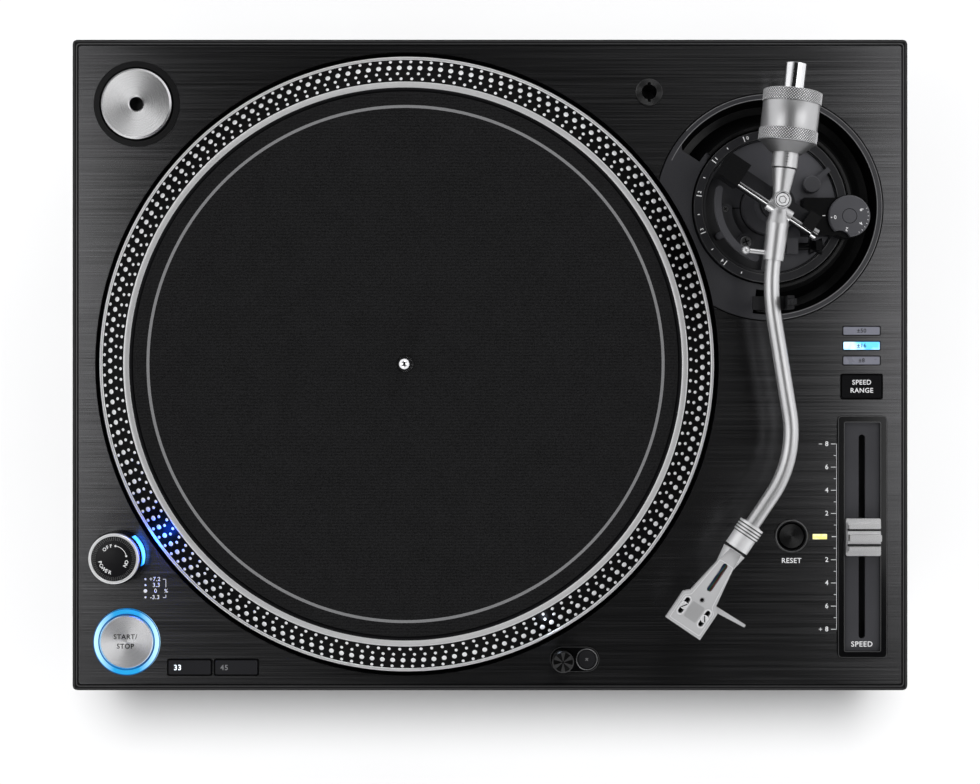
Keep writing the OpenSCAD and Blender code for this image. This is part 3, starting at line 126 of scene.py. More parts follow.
class TurntableSizes(bpy.types.PropertyGroup):
    """Sizes of the fine pieces, in metres"""
    print_lift: bpy.props.FloatProperty(
        name="Print thickness", description="How far printed marks stand above what they are on",
        default=0.00006, unit="LENGTH")
    dots_per_row: bpy.props.IntProperty(
        name="Strobe dots", description="Dots in the row for the plain speed", default=180)
    large_dot: bpy.props.FloatProperty(
        name="Large dot", description="Width of a dot in the row for the plain speed",
        default=0.0033, unit="LENGTH")
    small_dot: bpy.props.FloatProperty(
        name="Small dot", description="Width of a dot in the other rows", default=0.0021, unit="LENGTH")
    knurl_pitch: bpy.props.FloatProperty(
        name="Knurl pitch", description="Distance between the counterweight's knurls",
        default=0.0015, unit="LENGTH")
    letter: bpy.props.FloatProperty(
        name="Letter height", description="Height of the deck's printed letters",
        default=0.0028, unit="LENGTH")


class TurntableColours(bpy.types.PropertyGroup):
    """Colours of the finishes"""
    deck: bpy.props.FloatVectorProperty(
        name="Deck", description="Brushed top panel", subtype="COLOR", default=(0.1, 0.1, 0.103))
    black: bpy.props.FloatVectorProperty(
        name="Black", description="Cast and moulded black parts", subtype="COLOR",
        default=(0.009, 0.009, 0.010))
    silver: bpy.props.FloatVectorProperty(
        name="Silver", description="Bright turned metal", subtype="COLOR", default=(0.72, 0.72, 0.73))
    felt: bpy.props.FloatVectorProperty(
        name="Felt", description="The mat", subtype="COLOR", default=(0.0105, 0.0105, 0.011))
    print_white: bpy.props.FloatVectorProperty(
        name="Print", description="Printed scales and words", subtype="COLOR", default=(0.88, 0.88, 0.89))


def sizes():
    return bpy.context.scene.turntable_sizes


def colours():
    return bpy.context.scene.turntable_colours


# Shapes: a shape is a pair of numpy arrays, points in millimetres and faces as index lists

def joined(*shapes):
    """Several shapes as one, the later ones' indices moved on past the earlier ones' points."""
    points, faces, count = [], [], 0
    for p, f in shapes:
        points.append(np.asarray(p, float))
        faces.extend([[i + count for i in face] for face in f])
        count += len(p)
    return np.concatenate(points), faces


def moved(shape, at, turn=0.0):
    """A shape turned about Z by turn degrees and then moved. A place without a height keeps the shape's."""
    c, s = math.cos(math.radians(turn)), math.sin(math.radians(turn))
    spin = np.array([[c, -s, 0], [s, c, 0], [0, 0, 1]])
    place = np.zeros(3)
    place[:len(at)] = at
    return np.asarray(shape[0]) @ spin.T + place, shape[1]


def mapped(shape, origin, x_axis, z_axis):
    """A shape carried from the standard axes to axes at origin, along x_axis and z_axis."""
    x = np.asarray(x_axis, float) / np.linalg.norm(x_axis)
    z = np.asarray(z_axis, float) / np.linalg.norm(z_axis)
    basis = np.stack([x, np.cross(z, x), z])
    return np.asarray(shape[0]) @ basis + np.asarray(origin, float), shape[1]


def polar(centre, radius, degrees):
    """The flat point at a radius and an angle from a centre: (x + r cos a, y + r sin a)."""
    a = math.radians(degrees)
    return centre[0] + radius * math.cos(a), centre[1] + radius * math.sin(a)


def grid_faces(rows, columns, closed_rows, closed_columns):
    """Quads of a grid of points, wrapped round in either way."""
    r = np.arange(rows if closed_rows else rows - 1)[:, None]
    c = np.arange(columns if closed_columns else columns - 1)[None, :]
    r2, c2 = (r + 1) % rows, (c + 1) % columns
    corners = (r * columns + c, r * columns + c2, r2 * columns + c2, r2 * columns + c)
    return np.stack(np.broadcast_arrays(*corners), -1).reshape(-1, 4).tolist()


def lathe(profile, count=96, closed=True, span=360.0, start=0.0):
    """A profile of (radius, height) turned about Z: a point is (r cos a, r sin a, z) for each angle a.
    An open profile has both its ends on the axis."""
    prof = np.asarray(profile, float)
    whole = span >= 360.0
    a = np.radians(start + span * np.arange(count + (not whole)) / count)
    pts = np.stack([np.outer(prof[:, 0], np.cos(a)), np.outer(prof[:, 0], np.sin(a)),
                    np.repeat(prof[:, 1:2], len(a), 1)], -1).reshape(-1, 3)
    faces = grid_faces(len(prof), len(a), closed, whole)
    if not whole:
        first = [i * len(a) for i in range(len(prof))]
        faces += [first, [i + len(a) - 1 for i in first][::-1]]
    return pts, faces


def ring(inner, outer, z0, z1, count=96, **part):
    """A flat ring of rectangular section."""
    return lathe([[inner, z0], [outer, z0], [outer, z1], [inner, z1]], count, **part)


def arcs(*rows):
    """Flat arcs about Z, each of an inner and an outer radius, a foot and a top, a count of steps, the
    degrees that it spans and those where it starts."""
    return joined(*(ring(*row[:5], span=row[5], start=row[6]) for row in rows))


def eased(points, radius, steps=3):
    """A flat outline whose corners are rounded: each corner is replaced by a quadratic curve that
    starts and ends at most radius away from it, along its two sides."""
    here = np.asarray(points, float)
    a, b = np.roll(here, 1, 0) - here, np.roll(here, -1, 0) - here
    la, lb = np.linalg.norm(a, axis=1)[:, None], np.linalg.norm(b, axis=1)[:, None]
    r = np.minimum(radius, np.minimum(la, lb) * 0.45)
    s, e = (here + a / la * r)[:, None], (here + b / lb * r)[:, None]
    t = np.linspace(0, 1, steps + 1)[None, :, None]
    return ((1 - t) ** 2 * s + 2 * t * (1 - t) * here[:, None] + t ** 2 * e).reshape(-1, 2)


def rounded(centre, half, radius, steps=3):
    """A rectangle with eased corners, half being half its width and half its depth."""
    (x, y), (w, h) = centre[:2], half[:2]
    return eased([[x - w, y - h], [x + w, y - h], [x + w, y + h], [x - w, y + h]], radius, steps)


def prism(outline, z0, z1):
    """A flat outline raised from z0 to z1, with flat ends."""
    o = np.asarray(outline, float)
    n = len(o)
    pts = np.concatenate([np.c_[o, np.full(n, z0)], np.c_[o, np.full(n, z1)]])
    return pts, grid_faces(2, n, False, True) + [list(range(n))[::-1], list(range(n, 2 * n))]


def plate(x0, x1, y0, y1, z0, z1):
    """A rectangular plate between two corners."""
    return prism([[x0, y0], [x1, y0], [x1, y1], [x0, y1]], z0, z1)


def cross(reach, width, z0, z1):
    """Two bars across each other, each reaching as far from the middle and as wide to a side as given."""
    return joined(plate(-reach, reach, -width, width, z0, z1), plate(-width, width, -reach, reach, z0, z1))


def trim(z, proud=0.03):
    """The foot and the top of a thin line that lies on a surface at height z."""
    return z - 0.05, z + proud


def band_between(outer, inner, z0, z1):
    """A closed band between two flat outlines of equal length, from z0 to z1."""
    n = len(outer)
    rows = [np.c_[line, np.full(n, z)] for line, z in ((outer, z0), (outer, z1), (inner, z1), (inner, z0))]
    return np.concatenate(rows), grid_faces(4, n, True, True)


def rim(centre, half, outer, inner, radii, steps, z0, z1):
    """A line round a rectangle: its two edges are rectangles wider than half by outer and by inner."""
    lines = [rounded(centre, np.add(half[:2], more), r, steps) for more, r in zip((outer, inner), radii)]
    return band_between(*lines, z0, z1)


def flat_band(path, width, z0, z1):
    """A flat strip of a width along a path, from z0 to z1."""
    p = np.asarray(path, float)
    way = np.gradient(p, axis=0)
    way /= np.linalg.norm(way, axis=1)[:, None]
    side = np.c_[-way[:, 1], way[:, 0]] * width / 2
    return prism(np.concatenate([p + side, (p - side)[::-1]]), z0, z1)


def circle(r, count=48):
    """A round outline: the point at angle a is (r cos a, r sin a)."""
    a = np.arange(count) * 2 * math.pi / count
    return np.c_[r * np.cos(a), r * np.sin(a)]


def pill(length, width, count=12):
    """A slot outline along X: each end is half a circle of half the width."""
    a = np.radians(np.linspace(-90, 90, count))
    right = np.c_[(length - width) / 2 + width / 2 * np.cos(a), width / 2 * np.sin(a)]
    return np.concatenate([right, -right])


def along_arm(shape):
    """A shape whose Z runs forward along the arm from the arm's upright axis, and whose X points up."""
    return mapped(shape, (ARM[0], ARM[1], ARM_Z), UP, ARM_WAY)


def along_shell(shape):
    """A shape whose Z runs forward along the headshell from the tube's end, and whose X points up."""
    return mapped(shape, SHELL_AT, UP, SHELL_WAY)


def on_shell(shape):
    """A shape whose X runs forward along the headshell from the tube's end, and whose Z points up."""
    return mapped(shape, SHELL_AT, SHELL_WAY, UP)


def knurl_band(radius, depth, start, end, pitch):
    """A band of diamond knurls about Z. With u the angle in teeth and v the height in pitches, the radius
    falls by depth where u + v or u - v is a whole number and rises between them in straight flanks."""
    teeth = round(2 * math.pi * radius / pitch)
    rows = 4 * round((end - start) / pitch) + 1
    u = np.arange(4 * teeth)[None, :] / 4
    v = np.arange(rows)[:, None] / 4

    def flank(x):
        return 1 - 2 * np.abs((x % 1.0) - 0.5)

    r = radius - depth * (1 - np.minimum(flank(u + v), flank(u - v)))
    under = np.full((1, 4 * teeth), radius - 2.5 * depth)
    r = np.concatenate([under, r, under])
    z = np.concatenate([[start], np.linspace(start + 0.1, end - 0.1, rows), [end]])
    a = 2 * math.pi * u / teeth
    pts = np.stack([r * np.cos(a), r * np.sin(a), np.broadcast_to(z[:, None], r.shape)], -1)
    return pts.reshape(-1, 3), grid_faces(len(z), 4 * teeth, True, True)


def fluted(radius, depth, count, start, end):
    """A short round grip about Z whose radius at angle a is radius - depth (1 - cos(count a)) / 2."""
    a = np.arange(count * 6) * 2 * math.pi / (count * 6)
    r = radius - depth * (1 - np.cos(count * a)) / 2
    return prism(np.c_[r * np.cos(a), r * np.sin(a)], start, end)


def tube_along(path, radius, sides=10):
    """A round tube carried along a path: at each point a circle stands square to the path's direction,
    and its first side is the last circle's, turned no more than the path turns."""
    p = np.asarray(path, float)
    way = np.gradient(p, axis=0)
    way /= np.linalg.norm(way, axis=1)[:, None]
    side = np.zeros_like(p)
    side[0] = np.cross(way[0], UP)
    for i in range(1, len(p)):
        side[i] = side[i - 1] - way[i] * (side[i - 1] @ way[i])
    side /= np.linalg.norm(side, axis=1)[:, None]
    a = np.arange(sides)[None, :, None] * 2 * math.pi / sides
    pts = p[:, None] + radius * (np.cos(a) * side[:, None] + np.sin(a) * np.cross(way, side)[:, None])
    ends = [list(range(sides))[::-1], list(range((len(p) - 1) * sides, len(p) * sides))]
    return pts.reshape(-1, 3), grid_faces(len(p), sides, False, True) + ends


def copies(shape, ats, x_ways, z_ways):
    """One shape repeated at many places, each with its own X and Z directions, as whole arrays."""
    p = np.asarray(shape[0])
    basis = np.stack([x_ways, np.cross(z_ways, x_ways), z_ways], 1)
    pts = np.einsum("pi,nij->npj", p, basis) + np.asarray(ats, float)[:, None]
    faces = [[i + k * len(p) for i in face] for k in range(len(pts)) for face in shape[1]]
    return pts.reshape(-1, 3), faces


# Print: thin marks on a surface at height z. CAPITAL is a capital's share of the font's size, and
# BOLDEST the most that bold may add to a letter's outline, as a share of its height
CAPITAL = 0.745
BOLDEST = 0.018


def ink():
    """How far print stands above its surface."""
    return sizes().print_lift / MM


def bar(x0, x1, y0, y1, z):
    """A printed bar between two corners."""
    return plate(x0, x1, y0, y1, z, z + ink())


def dot(r, at, z, count=24):
    """A printed round dot."""
    return moved(prism(circle(r, count), z, z + ink()), at)


def lettering(text, height, at, turn=0.0, bold=0.0):
    """Printed words, height being that of a capital, centred at a place and turned about Z."""
    curve = bpy.data.curves.new("letters", "FONT")
    curve.body = text
    curve.align_x = "CENTER"
    curve.align_y = "CENTER"
    curve.size = height / CAPITAL
    curve.offset = min(bold, BOLDEST * height)
    curve.space_character = 1.05 + 1.5 * bold / height
    curve.extrude = ink() / 2
    curve.resolution_u = 4
    holder = bpy.data.objects.new("letters", curve)
    bpy.context.scene.collection.objects.link(holder)
    bpy.context.view_layer.update()
    mesh = bpy.data.meshes.new_from_object(holder.evaluated_get(bpy.context.evaluated_depsgraph_get()))
    pts = np.zeros(len(mesh.vertices) * 3)
    mesh.vertices.foreach_get("co", pts)
    faces = [list(p.vertices) for p in mesh.polygons]
    bpy.data.objects.remove(holder)
    bpy.data.curves.remove(curve)
    bpy.data.meshes.remove(mesh)
    return moved((pts.reshape(-1, 3), faces), (at[0], at[1], at[2] + ink() / 2), turn)


def arc_lettering(text, height, centre, radius, angle, pitch, z, bold):
    """Words along an arc: each letter stands square to the radius, pitch degrees after the last one.
    A positive pitch runs anticlockwise, with the letters' feet outwards."""
    first = angle - pitch * (len(text) - 1) / 2
    angles = [first + pitch * i for i in range(len(text))]
    turn = math.copysign(90, pitch)
    return joined(*(lettering(letter, height, (*polar(centre, radius, a), z), a + turn, bold)
                    for letter, a in zip(text, angles)))


def piece(name, shape, look, body, crease=30.0, bevel=0.0):
    """A new object in metres from a shape in millimetres. It shows a finish and rides on a CAD body.
    A bevel eases its edges by that many millimetres."""
    points, faces = shape
    mesh = bpy.data.meshes.new(name)
    mesh.from_pydata((np.asarray(points) * MM).tolist(), [], faces)
    work = bmesh.new()
    work.from_mesh(mesh)
    bmesh.ops.remove_doubles(work, verts=work.verts, dist=1e-7)
    bmesh.ops.recalc_face_normals(work, faces=work.faces)
    work.to_mesh(mesh)
    work.free()
    mesh.polygons.foreach_set("use_smooth", np.ones(len(mesh.polygons), bool))
    mesh.set_sharp_from_angle(angle=math.radians(crease))
    mesh.materials.append(FINISHES[look])
    made = bpy.data.objects.new(name, mesh)
    bpy.context.scene.collection.objects.link(made)
    if bevel:
        mod = made.modifiers.new("eased_edges", "BEVEL")
        mod.width = bevel * MM
        mod.segments = 2
        mod.limit_method = "ANGLE"
        mod.angle_limit = math.radians(crease)
    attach(made, body)
    return made


# Finishes: each is a Principled shader, with constant values on the shader's own sockets

FINISHES = {}


class Recipe:
    """One material under construction"""

    def __init__(self, name, **values):
        self.material = bpy.data.materials.new(name)
        self.material.use_nodes = True
        self.tree = self.material.node_tree
        self.shader = self.tree.nodes["Principled BSDF"]
        for socket, value in values.items():
            self.shader.inputs[socket.replace("_", " ")].default_value = value
        FINISHES[name] = self.material

    def node(self, kind, sockets=(), **values):
        """A new node. Its sockets take a constant, or the output that feeds them."""
        made = self.tree.nodes.new(kind)
        for key, value in values.items():
            setattr(made, key, value)
        for socket, source in dict(sockets).items():
            if isinstance(source, bpy.types.NodeSocket):
                self.tree.links.new(source, made.inputs[socket])
            else:
                made.inputs[socket].default_value = source
        return made

    def feed(self, *sockets, source):
        """One output into sockets of the shader."""
        for socket in sockets:
            self.tree.links.new(source, self.shader.inputs[socket])

    def place(self, centre=(0, 0, 0), stretch=(1, 1, 1)):
        """Object coordinates, centred on a place in millimetres and stretched."""
        coords = self.node("ShaderNodeTexCoord").outputs["Object"]
        start = [-c * MM * s for c, s in zip(centre, stretch)]
        sockets = {"Vector": coords, "Location": start, "Scale": stretch}
        return self.node("ShaderNodeMapping", sockets).outputs["Vector"]

    def noise(self, vector, scale, detail=3.0, rough=0.5):
        sockets = {"Vector": vector, "Scale": scale, "Detail": detail, "Roughness": rough}
        return self.node("ShaderNodeTexNoise", sockets).outputs["Fac"]

    def rings(self, centre, scale, detail):
        """Noise along the distance from an upright axis through a place, for turned lines."""
        flat = self.node("ShaderNodeVectorMath", {0: self.place(centre), 1: (1, 1, 0)}, operation="MULTIPLY")
        length = self.node("ShaderNodeVectorMath", {0: flat.outputs[0]}, operation="LENGTH").outputs["Value"]
        sockets = {"W": length, "Scale": scale, "Detail": detail}
        return self.node("ShaderNodeTexNoise", sockets, noise_dimensions="1D").outputs["Fac"]

    def part(self, vector, name):
        """The X, Y or Z of a vector."""
        return self.node("ShaderNodeSeparateXYZ", {0: vector}).outputs[name]

    def plus(self, value, share, more):
        """A share of one value on top of another."""
        return self.node("ShaderNodeMath", {0: value, 1: share, 2: more}, operation="MULTIPLY_ADD").outputs[0]

    def spread(self, value, low_out, high_out, low_in=0.3, high_in=0.7):
        """A value carried from one range to another."""
        sockets = {"Value": value, "From Min": low_in, "From Max": high_in,
                   "To Min": low_out, "To Max": high_out}
        return self.node("ShaderNodeMapRange", sockets).outputs["Result"]

    def ramp(self, value, *stops, steps="LINEAR"):
        """A colour ramp through stops, each a position and a colour."""
        made = self.node("ShaderNodeValToRGB", {"Fac": value})
        made.color_ramp.interpolation = steps
        points = made.color_ramp.elements
        while len(points) < len(stops):
            points.new(1.0)
        for point, (position, colour) in zip(points, stops):
            point.position = position
            point.color = (*colour, 1)
        return made.outputs["Color"]

    def between(self, value, tones, low_in=0.3, high_in=0.7):
        """A colour that goes from one tone to another as the value crosses a range."""
        return self.ramp(value, (low_in, tones[0]), (high_in, tones[1]))

    def colour(self, source):
        self.feed("Base Color", source=source)

    def glow(self, source):
        self.feed("Base Color", "Emission Color", source=source)

    def rough(self, source):
        self.feed("Roughness", source=source)

    def bump(self, height, strength, distance):
        sockets = {"Height": height, "Strength": strength, "Distance": distance}
        self.feed("Normal", source=self.node("ShaderNodeBump", sockets).outputs["Normal"])

    def tangent(self, axis):
        """Brushing that runs round an axis through the piece's middle."""
        made = self.node("ShaderNodeTangent", direction_type="RADIAL", axis=axis)
        self.feed("Tangent", source=made.outputs["Tangent"])

    def grain(self, at, rough, strength):
        """A fine grain that moves the roughness about its value and raises the surface."""
        fine = self.noise(at, 4200.0, 2.0)
        self.rough(self.spread(fine, rough - 0.05, rough + 0.06))
        self.bump(fine, strength, 0.00002)


def shade(colour, factor):
    return tuple(min(1.0, c * factor) for c in colour)


def pair(colour, dark, pale):
    """Two tones of a colour."""
    return shade(colour, dark), shade(colour, pale)


def brushed_deck():
    """Dark anodised sheet with fine straight brushing from left to right."""
    r = Recipe("brushed_deck", Metallic=0.97, Specular_IOR_Level=0.5, Anisotropic=0.8)
    streak = r.noise(r.place(stretch=(9, 1250, 1250)), 1.0, 6.0, 0.65)
    long_streak = r.noise(r.place(stretch=(2.2, 240, 240)), 1.0, 3.0)
    r.colour(r.between(r.plus(long_streak, 0.2, streak), pair(tuple(colours().deck), 0.45, 1.4), 0.42, 0.78))
    r.rough(r.spread(streak, 0.22, 0.26))
    r.bump(streak, 0.1, 0.00002)
    r.tangent("X")


def cast_black(name, factor, rough, strength, gloss):
    """Black paint or moulded plastic with a fine even grain."""
    r = Recipe(name, Specular_IOR_Level=gloss)
    at = r.place()
    r.colour(r.between(r.noise(at, 22.0, 2.0), pair(shade(colours().black, factor), 0.85, 1.2)))
    r.grain(at, rough, strength)


def painted_lit_level_black(name, under, lit_tone, level, depth, rough, gloss):
    """Black painted paler at one level, as painted light on the flat tops there: the tone is lit_tone from
    level to half of depth on either side of it, and under elsewhere."""
    r = Recipe(name, Specular_IOR_Level=gloss)
    at = r.place()
    margin = 10.0
    span = depth + 2 * margin
    share = r.spread(r.part(at, "Z"), 0.0, 1.0, (level - span / 2) * MM, (level + span / 2) * MM)
    dark, pale = pair(colours().black, under, lit_tone)
    stops = (0.0, dark), (margin / span, pale), ((margin + depth) / span, dark)
    r.colour(r.ramp(share, *stops, steps="CONSTANT"))
    r.grain(at, rough, 0.05)


def painted_sheen_black(name, near, far, centre, reach, rough, gloss):
    """Satin black with a painted highlight that grows paler towards the rear right: its tone goes from near
    to far as the distance along that diagonal goes from minus to plus half of reach."""
    r = Recipe(name, Specular_IOR_Level=gloss)
    at = r.place(centre)
    rear_right = (0.8, 0.35, 0)
    diagonal = r.node("ShaderNodeVectorMath", {0: at, 1: rear_right}, operation="DOT_PRODUCT")
    half = reach * MM / 2
    share = r.spread(diagonal.outputs["Value"], 0.0, 1.0, -half, half)
    r.colour(r.between(share, pair(colours().black, near, far), 0.0, 1.0))
    r.grain(at, rough, 0.15)


def rubber():
    """Dull black rubber with a pebbled surface."""
    r = Recipe("rubber", Specular_IOR_Level=0.35)
    at = r.place()
    pebble = r.noise(at, 1500.0)
    r.colour(r.between(r.noise(at, 30.0), ((0.012, 0.012, 0.012), (0.02, 0.02, 0.021))))
    r.rough(r.spread(pebble, 0.62, 0.8))
    r.bump(pebble, 0.4, 0.00006)


def spun(name, node, factor, rough, metal, aniso):
    """Bright metal turned about a node's upright axis: fine rings, and highlights that fan out."""
    r = Recipe(name, Metallic=metal, Anisotropic=aniso)
    grooves = r.rings(middle(node), 9000.0, 5.0)
    r.colour(r.between(grooves, pair(shade(colours().silver, factor), 0.9, 1.05)))
    r.rough(r.spread(grooves, rough - 0.04, rough + 0.06))
    r.bump(grooves, 0.12, 0.000015)
    r.tangent("Z")


def satin_metal(name, factor, rough, strength, metal):
    """Bright metal with a soft blasted surface."""
    r = Recipe(name, Metallic=metal)
    at = r.place()
    fine = r.noise(at, 5200.0, 2.0)
    r.colour(r.between(r.noise(at, 40.0, 2.0), pair(shade(colours().silver, factor), 0.94, 1.03)))
    r.rough(r.spread(fine, rough - 0.03, rough + 0.05))
    r.bump(fine, strength, 0.00001)


def felt():
    """Dark felt: short ribs from the weave under a fine nap, with a soft sheen."""
    r = Recipe("felt", Roughness=0.95, Specular_IOR_Level=0.08, Sheen_Weight=0.012, Sheen_Roughness=0.5)
    at = r.place()
    weave = {"Vector": at, "Scale": 190.0, "Distortion": 2.5, "Detail": 2.0, "Detail Scale": 3.0}
    ribs = r.node("ShaderNodeTexWave", weave, wave_type="BANDS", bands_direction="Y").outputs["Fac"]
    pile = r.plus(ribs, 0.12, r.noise(at, 1500.0, 3.0, 0.6))
    blotched = r.plus(r.noise(at, 70.0), 0.12, pile)
    r.colour(r.between(blotched, pair(tuple(colours().felt), 0.3, 1.7), 0.4, 0.85))
    r.bump(pile, 0.6, 0.00012)


def uneven(name, tones, scale, detail, dull, shiny, **values):
    """A smooth finish whose one faint noise moves both its tone and its roughness."""
    r = Recipe(name, **values)
    patches = r.noise(r.place(), scale, detail)
    r.colour(r.between(patches, tones))
    r.rough(r.spread(patches, shiny, dull))


def printed(name, colour):
    """Screen-printed ink, slightly uneven, also used for painted shade and painted highlights."""
    uneven(name, pair(colour, 0.92, 1.05), 900.0, 2.0, 0.58, 0.45, Specular_IOR_Level=0.3)


def tinted_plastic(name, colour, rough):
    """Smooth moulded plastic with a faint unevenness."""
    uneven(name, pair(colour, 0.93, 1.06), 130.0, 3.0, rough + 0.05, rough - 0.04, Specular_IOR_Level=0.5)


def glowing(name, colour, pale, strength, scale):
    """A lit translucent lens, or a painted glow: its glow runs from a full colour to a pale one across the
    piece.
    """
    r = Recipe(name, Roughness=0.35, Emission_Strength=strength)
    r.glow(r.between(r.noise(r.place(), scale, 1.0), (colour, pale), 0.42, 0.58))


def glowing_ring(name, node, colour, pale, strength):
    """A lit ring, palest at its left and right: pale's share is the sideways distance over the radius."""
    r = Recipe(name, Roughness=0.3, Emission_Strength=strength)
    centre = middle(node)
    radius = radius_of(node, centre) * MM
    side = r.node("ShaderNodeMath", {0: r.part(r.place(centre), "X")}, operation="ABSOLUTE").outputs[0]
    r.glow(r.between(r.spread(side, 0.0, 1.0, 0.25 * radius, radius), (colour, pale), 0.15, 0.95))


# Blacks: factor on the plain black, roughness, strength of the grain, gloss
BLACKS = {
    "moulded_black": (1.0, 0.5, 0.25, 0.2),
    "painted_black": (0.4, 0.35, 0.25, 0.12),
    "cup_black": (0.4, 0.3, 0.05, 0.2),
    "knob_black": (0.4, 0.22, 0.03, 0.12),
    "knob_face": (0.7, 0.2, 0.02, 0.2),
    "gloss_black": (0.3, 0.12, 0.02, 0.3),
    "key_black": (1.5, 0.4, 0.05, 0.15),
    "range_black": (0.5, 0.5, 0.05, 0.05),
    "slot_grey": (4.6, 0.5, 0.1, 0.2),
    "ring_grey": (2.0, 0.35, 0.05, 0.2),
    "rail_grey": (6.0, 0.35, 0.05, 0.3),
    "housing_black": (0.4, 0.3, 0.1, 0.08),
    "dial_grey": (8.0, 0.45, 0.05, 0.3),
    "cartridge_black": (0.8, 0.35, 0.1, 0.2),
    "band_black": (0.15, 0.34, 0.1, 0.03),
    "lip_black": (1.2, 0.6, 0.1, 0.1),
    "deep_black": (0.15, 0.5, 0.05, 0.05),
    "seal_black": (0.8, 0.5, 0.25, 0.2),
}

# Blasted metals: factor on the plain silver, roughness, strength of the grain, share of metal
METALS = {
    "skirt_black": (0.3, 0.36, 0.05, 0.9),
    "dark_steel": (0.2, 0.35, 0.1, 1.0),
    "windings": (0.35, 0.45, 0.5, 1.0),
    "bronze": (0.5, 0.35, 0.1, 1.0),
    "gold_plate": (0.6, 0.2, 0.1, 1.0),
    "knob_ring": (1.05, 0.3, 0.03, 0.7),
    "rib_black": (0.2, 0.25, 0.05, 1.0),
    "fan_grey": (0.3, 0.3, 0.05, 1.0),
    "ferrite": (0.1, 0.6, 0.1, 1.0),
    "dark_chrome": (0.4, 0.16, 0.02, 1.0),
    "satin_silver": (0.95, 0.3, 0.1, 0.85),
    "weight_satin": (0.64, 0.34, 0.1, 0.9),
    "knurl_silver": (0.92, 0.3, 0.02, 0.85),
    "arm_satin": (0.75, 0.36, 0.05, 0.9),
    "sleeve_metal": (0.7, 0.3, 0.1, 1.0),
    "collar_satin": (1.0, 0.42, 0.1, 0.5),
    "shell_satin": (0.78, 0.42, 0.15, 0.3),
    "shell_silver": (1.1, 0.35, 0.1, 0.35),
    "shell_shadow": (0.58, 0.4, 0.1, 0.3),
    "dot_silver": (1.0, 0.4, 0.1, 0.5),
    "rim_grey": (0.16, 0.4, 0.1, 1.0),
}

# Turned metals: node whose axis they turn about, factor on the silver, roughness, metal, anisotropy
TURNED = {
    "adapter_spun": ("adapter_45", 1.0, 0.26, 1.0, 0.8),
    "start_spun": ("start_stop_button", 1.3, 0.3, 0.9, 0.7),
    "reset_spun": ("reset_button", 0.05, 0.3, 1.0, 0.8),
    "lamp_spun": ("stylus_lamp", 0.05, 0.25, 1.0, 0.8),
    "socket_grey": ("accessory_socket", 0.12, 0.3, 1.0, 0.8),
    "platter_spun": ("platter", 1.35, 0.34, 0.8, 0.4),
}

# Lit lenses, and one painted glow: full colour, pale colour, strength, scale of the change
LENSES = {
    "blue_lens": ((0.0, 0.2, 0.9), (0.25, 0.75, 1.0), 2.2, 30),
    # deep_glow is no lens: it is the start ring's blue light painted as a glow into the dark gap beside the
    # ring.
    "deep_glow": ((0.0, 0.05, 0.2), (0.0, 0.09, 0.28), 0.5, 60),
    "lit_number": ((0.8, 0.9, 1.0), (0.9, 0.95, 1.0), 0.9, 60),
    "lit_window": ((0.1, 0.5, 0.95), (0.55, 0.85, 1.0), 0.85, 120),
    "lit_amber": ((0.8, 0.72, 0.2), (0.95, 0.92, 0.45), 0.6, 400),
}

# Plastics: colour, roughness
PLASTICS = {
    "board": ((0.02, 0.09, 0.045), 0.4),
    "window_dim": ((0.2, 0.205, 0.25), 0.3),
    "lamp_dim": ((0.09, 0.095, 0.12), 0.3),
}

# Inks and wires beside the white print; the dark ink also paints shade in grooves and recesses, and the grey
# ink also paints highlights on the dish's flange
INKS = {
    "ink_grey": (0.2, 0.2, 0.205),
    "ink_dark": (0.02, 0.02, 0.022),
    "lead_white": (0.35, 0.34, 0.33),
    "lead_red": (0.16, 0.02, 0.02),
    "lead_green": (0.02, 0.1, 0.05),
    "lead_blue": (0.02, 0.04, 0.14),
}

# What each CAD node shows
WEARS = {
    "rubber": ["rubber_base", "foot_front_left", "foot_front_right", "foot_rear_left", "foot_rear_right"],
    "moulded_black": ["base_tray", "rest_clip", "arm_rest", "power_inlet", "signal_terminals"],
    "painted_black": ["chassis_shell"],
    "brushed_deck": ["top_panel"],
    "dark_steel": ["base_screws", "slider_pot"],
    "windings": ["motor_stator", "power_transformer"],
    "bronze": ["bearing_housing"],
    "board": ["control_board", "power_board"],
    "cup_black": ["adapter_cup"],
    "socket_grey": ["accessory_socket"],
    "knob_black": ["strobe_housing", "power_knob"],
    "blue_lens": ["strobe_lens"],
    "start_glow": ["start_stop_ring"],
    "lamp_dim": ["indicator_lamps"],
    "gloss_black": ["slider_bezel", "button_bezels"],
    "range_black": ["tempo_range_button"],
    "key_black": ["light_button", "speed_button_33", "speed_button_45"],
    "slot_grey": ["slider_plate"],
    "dish_black": ["arm_dish"],
    "ring_grey": ["height_ring"],
    "base_grey": ["arm_base"],
    "rail_grey": ["lift_rail", "lock_knob"],
    "housing_black": ["anti_skate_housing", "cue_lever"],
    "dial_grey": ["anti_skate_dial"],
    "gimbal_black": ["gimbal_yoke"],
    "skirt_black": ["pressure_dial"],
    "reset_spun": ["reset_button"],
    "ferrite": ["rotor_magnet"],
    "steel": ["spindle"],
    "dark_chrome": ["pivot_pins"],
    "adapter_spun": ["adapter_45"],
    "start_spun": ["start_stop_button"],
    "lamp_spun": ["stylus_lamp"],
    "satin_silver": ["slider_cap"],
    "collar_satin": ["locking_collar"],
    "weight_satin": ["counterweight"],
    "shell_satin": ["headshell"],
    "arm_satin": ["arm_tube", "arm_block"],
    "sleeve_metal": ["weight_sleeve"],
    "cartridge_black": ["cartridge"],
}


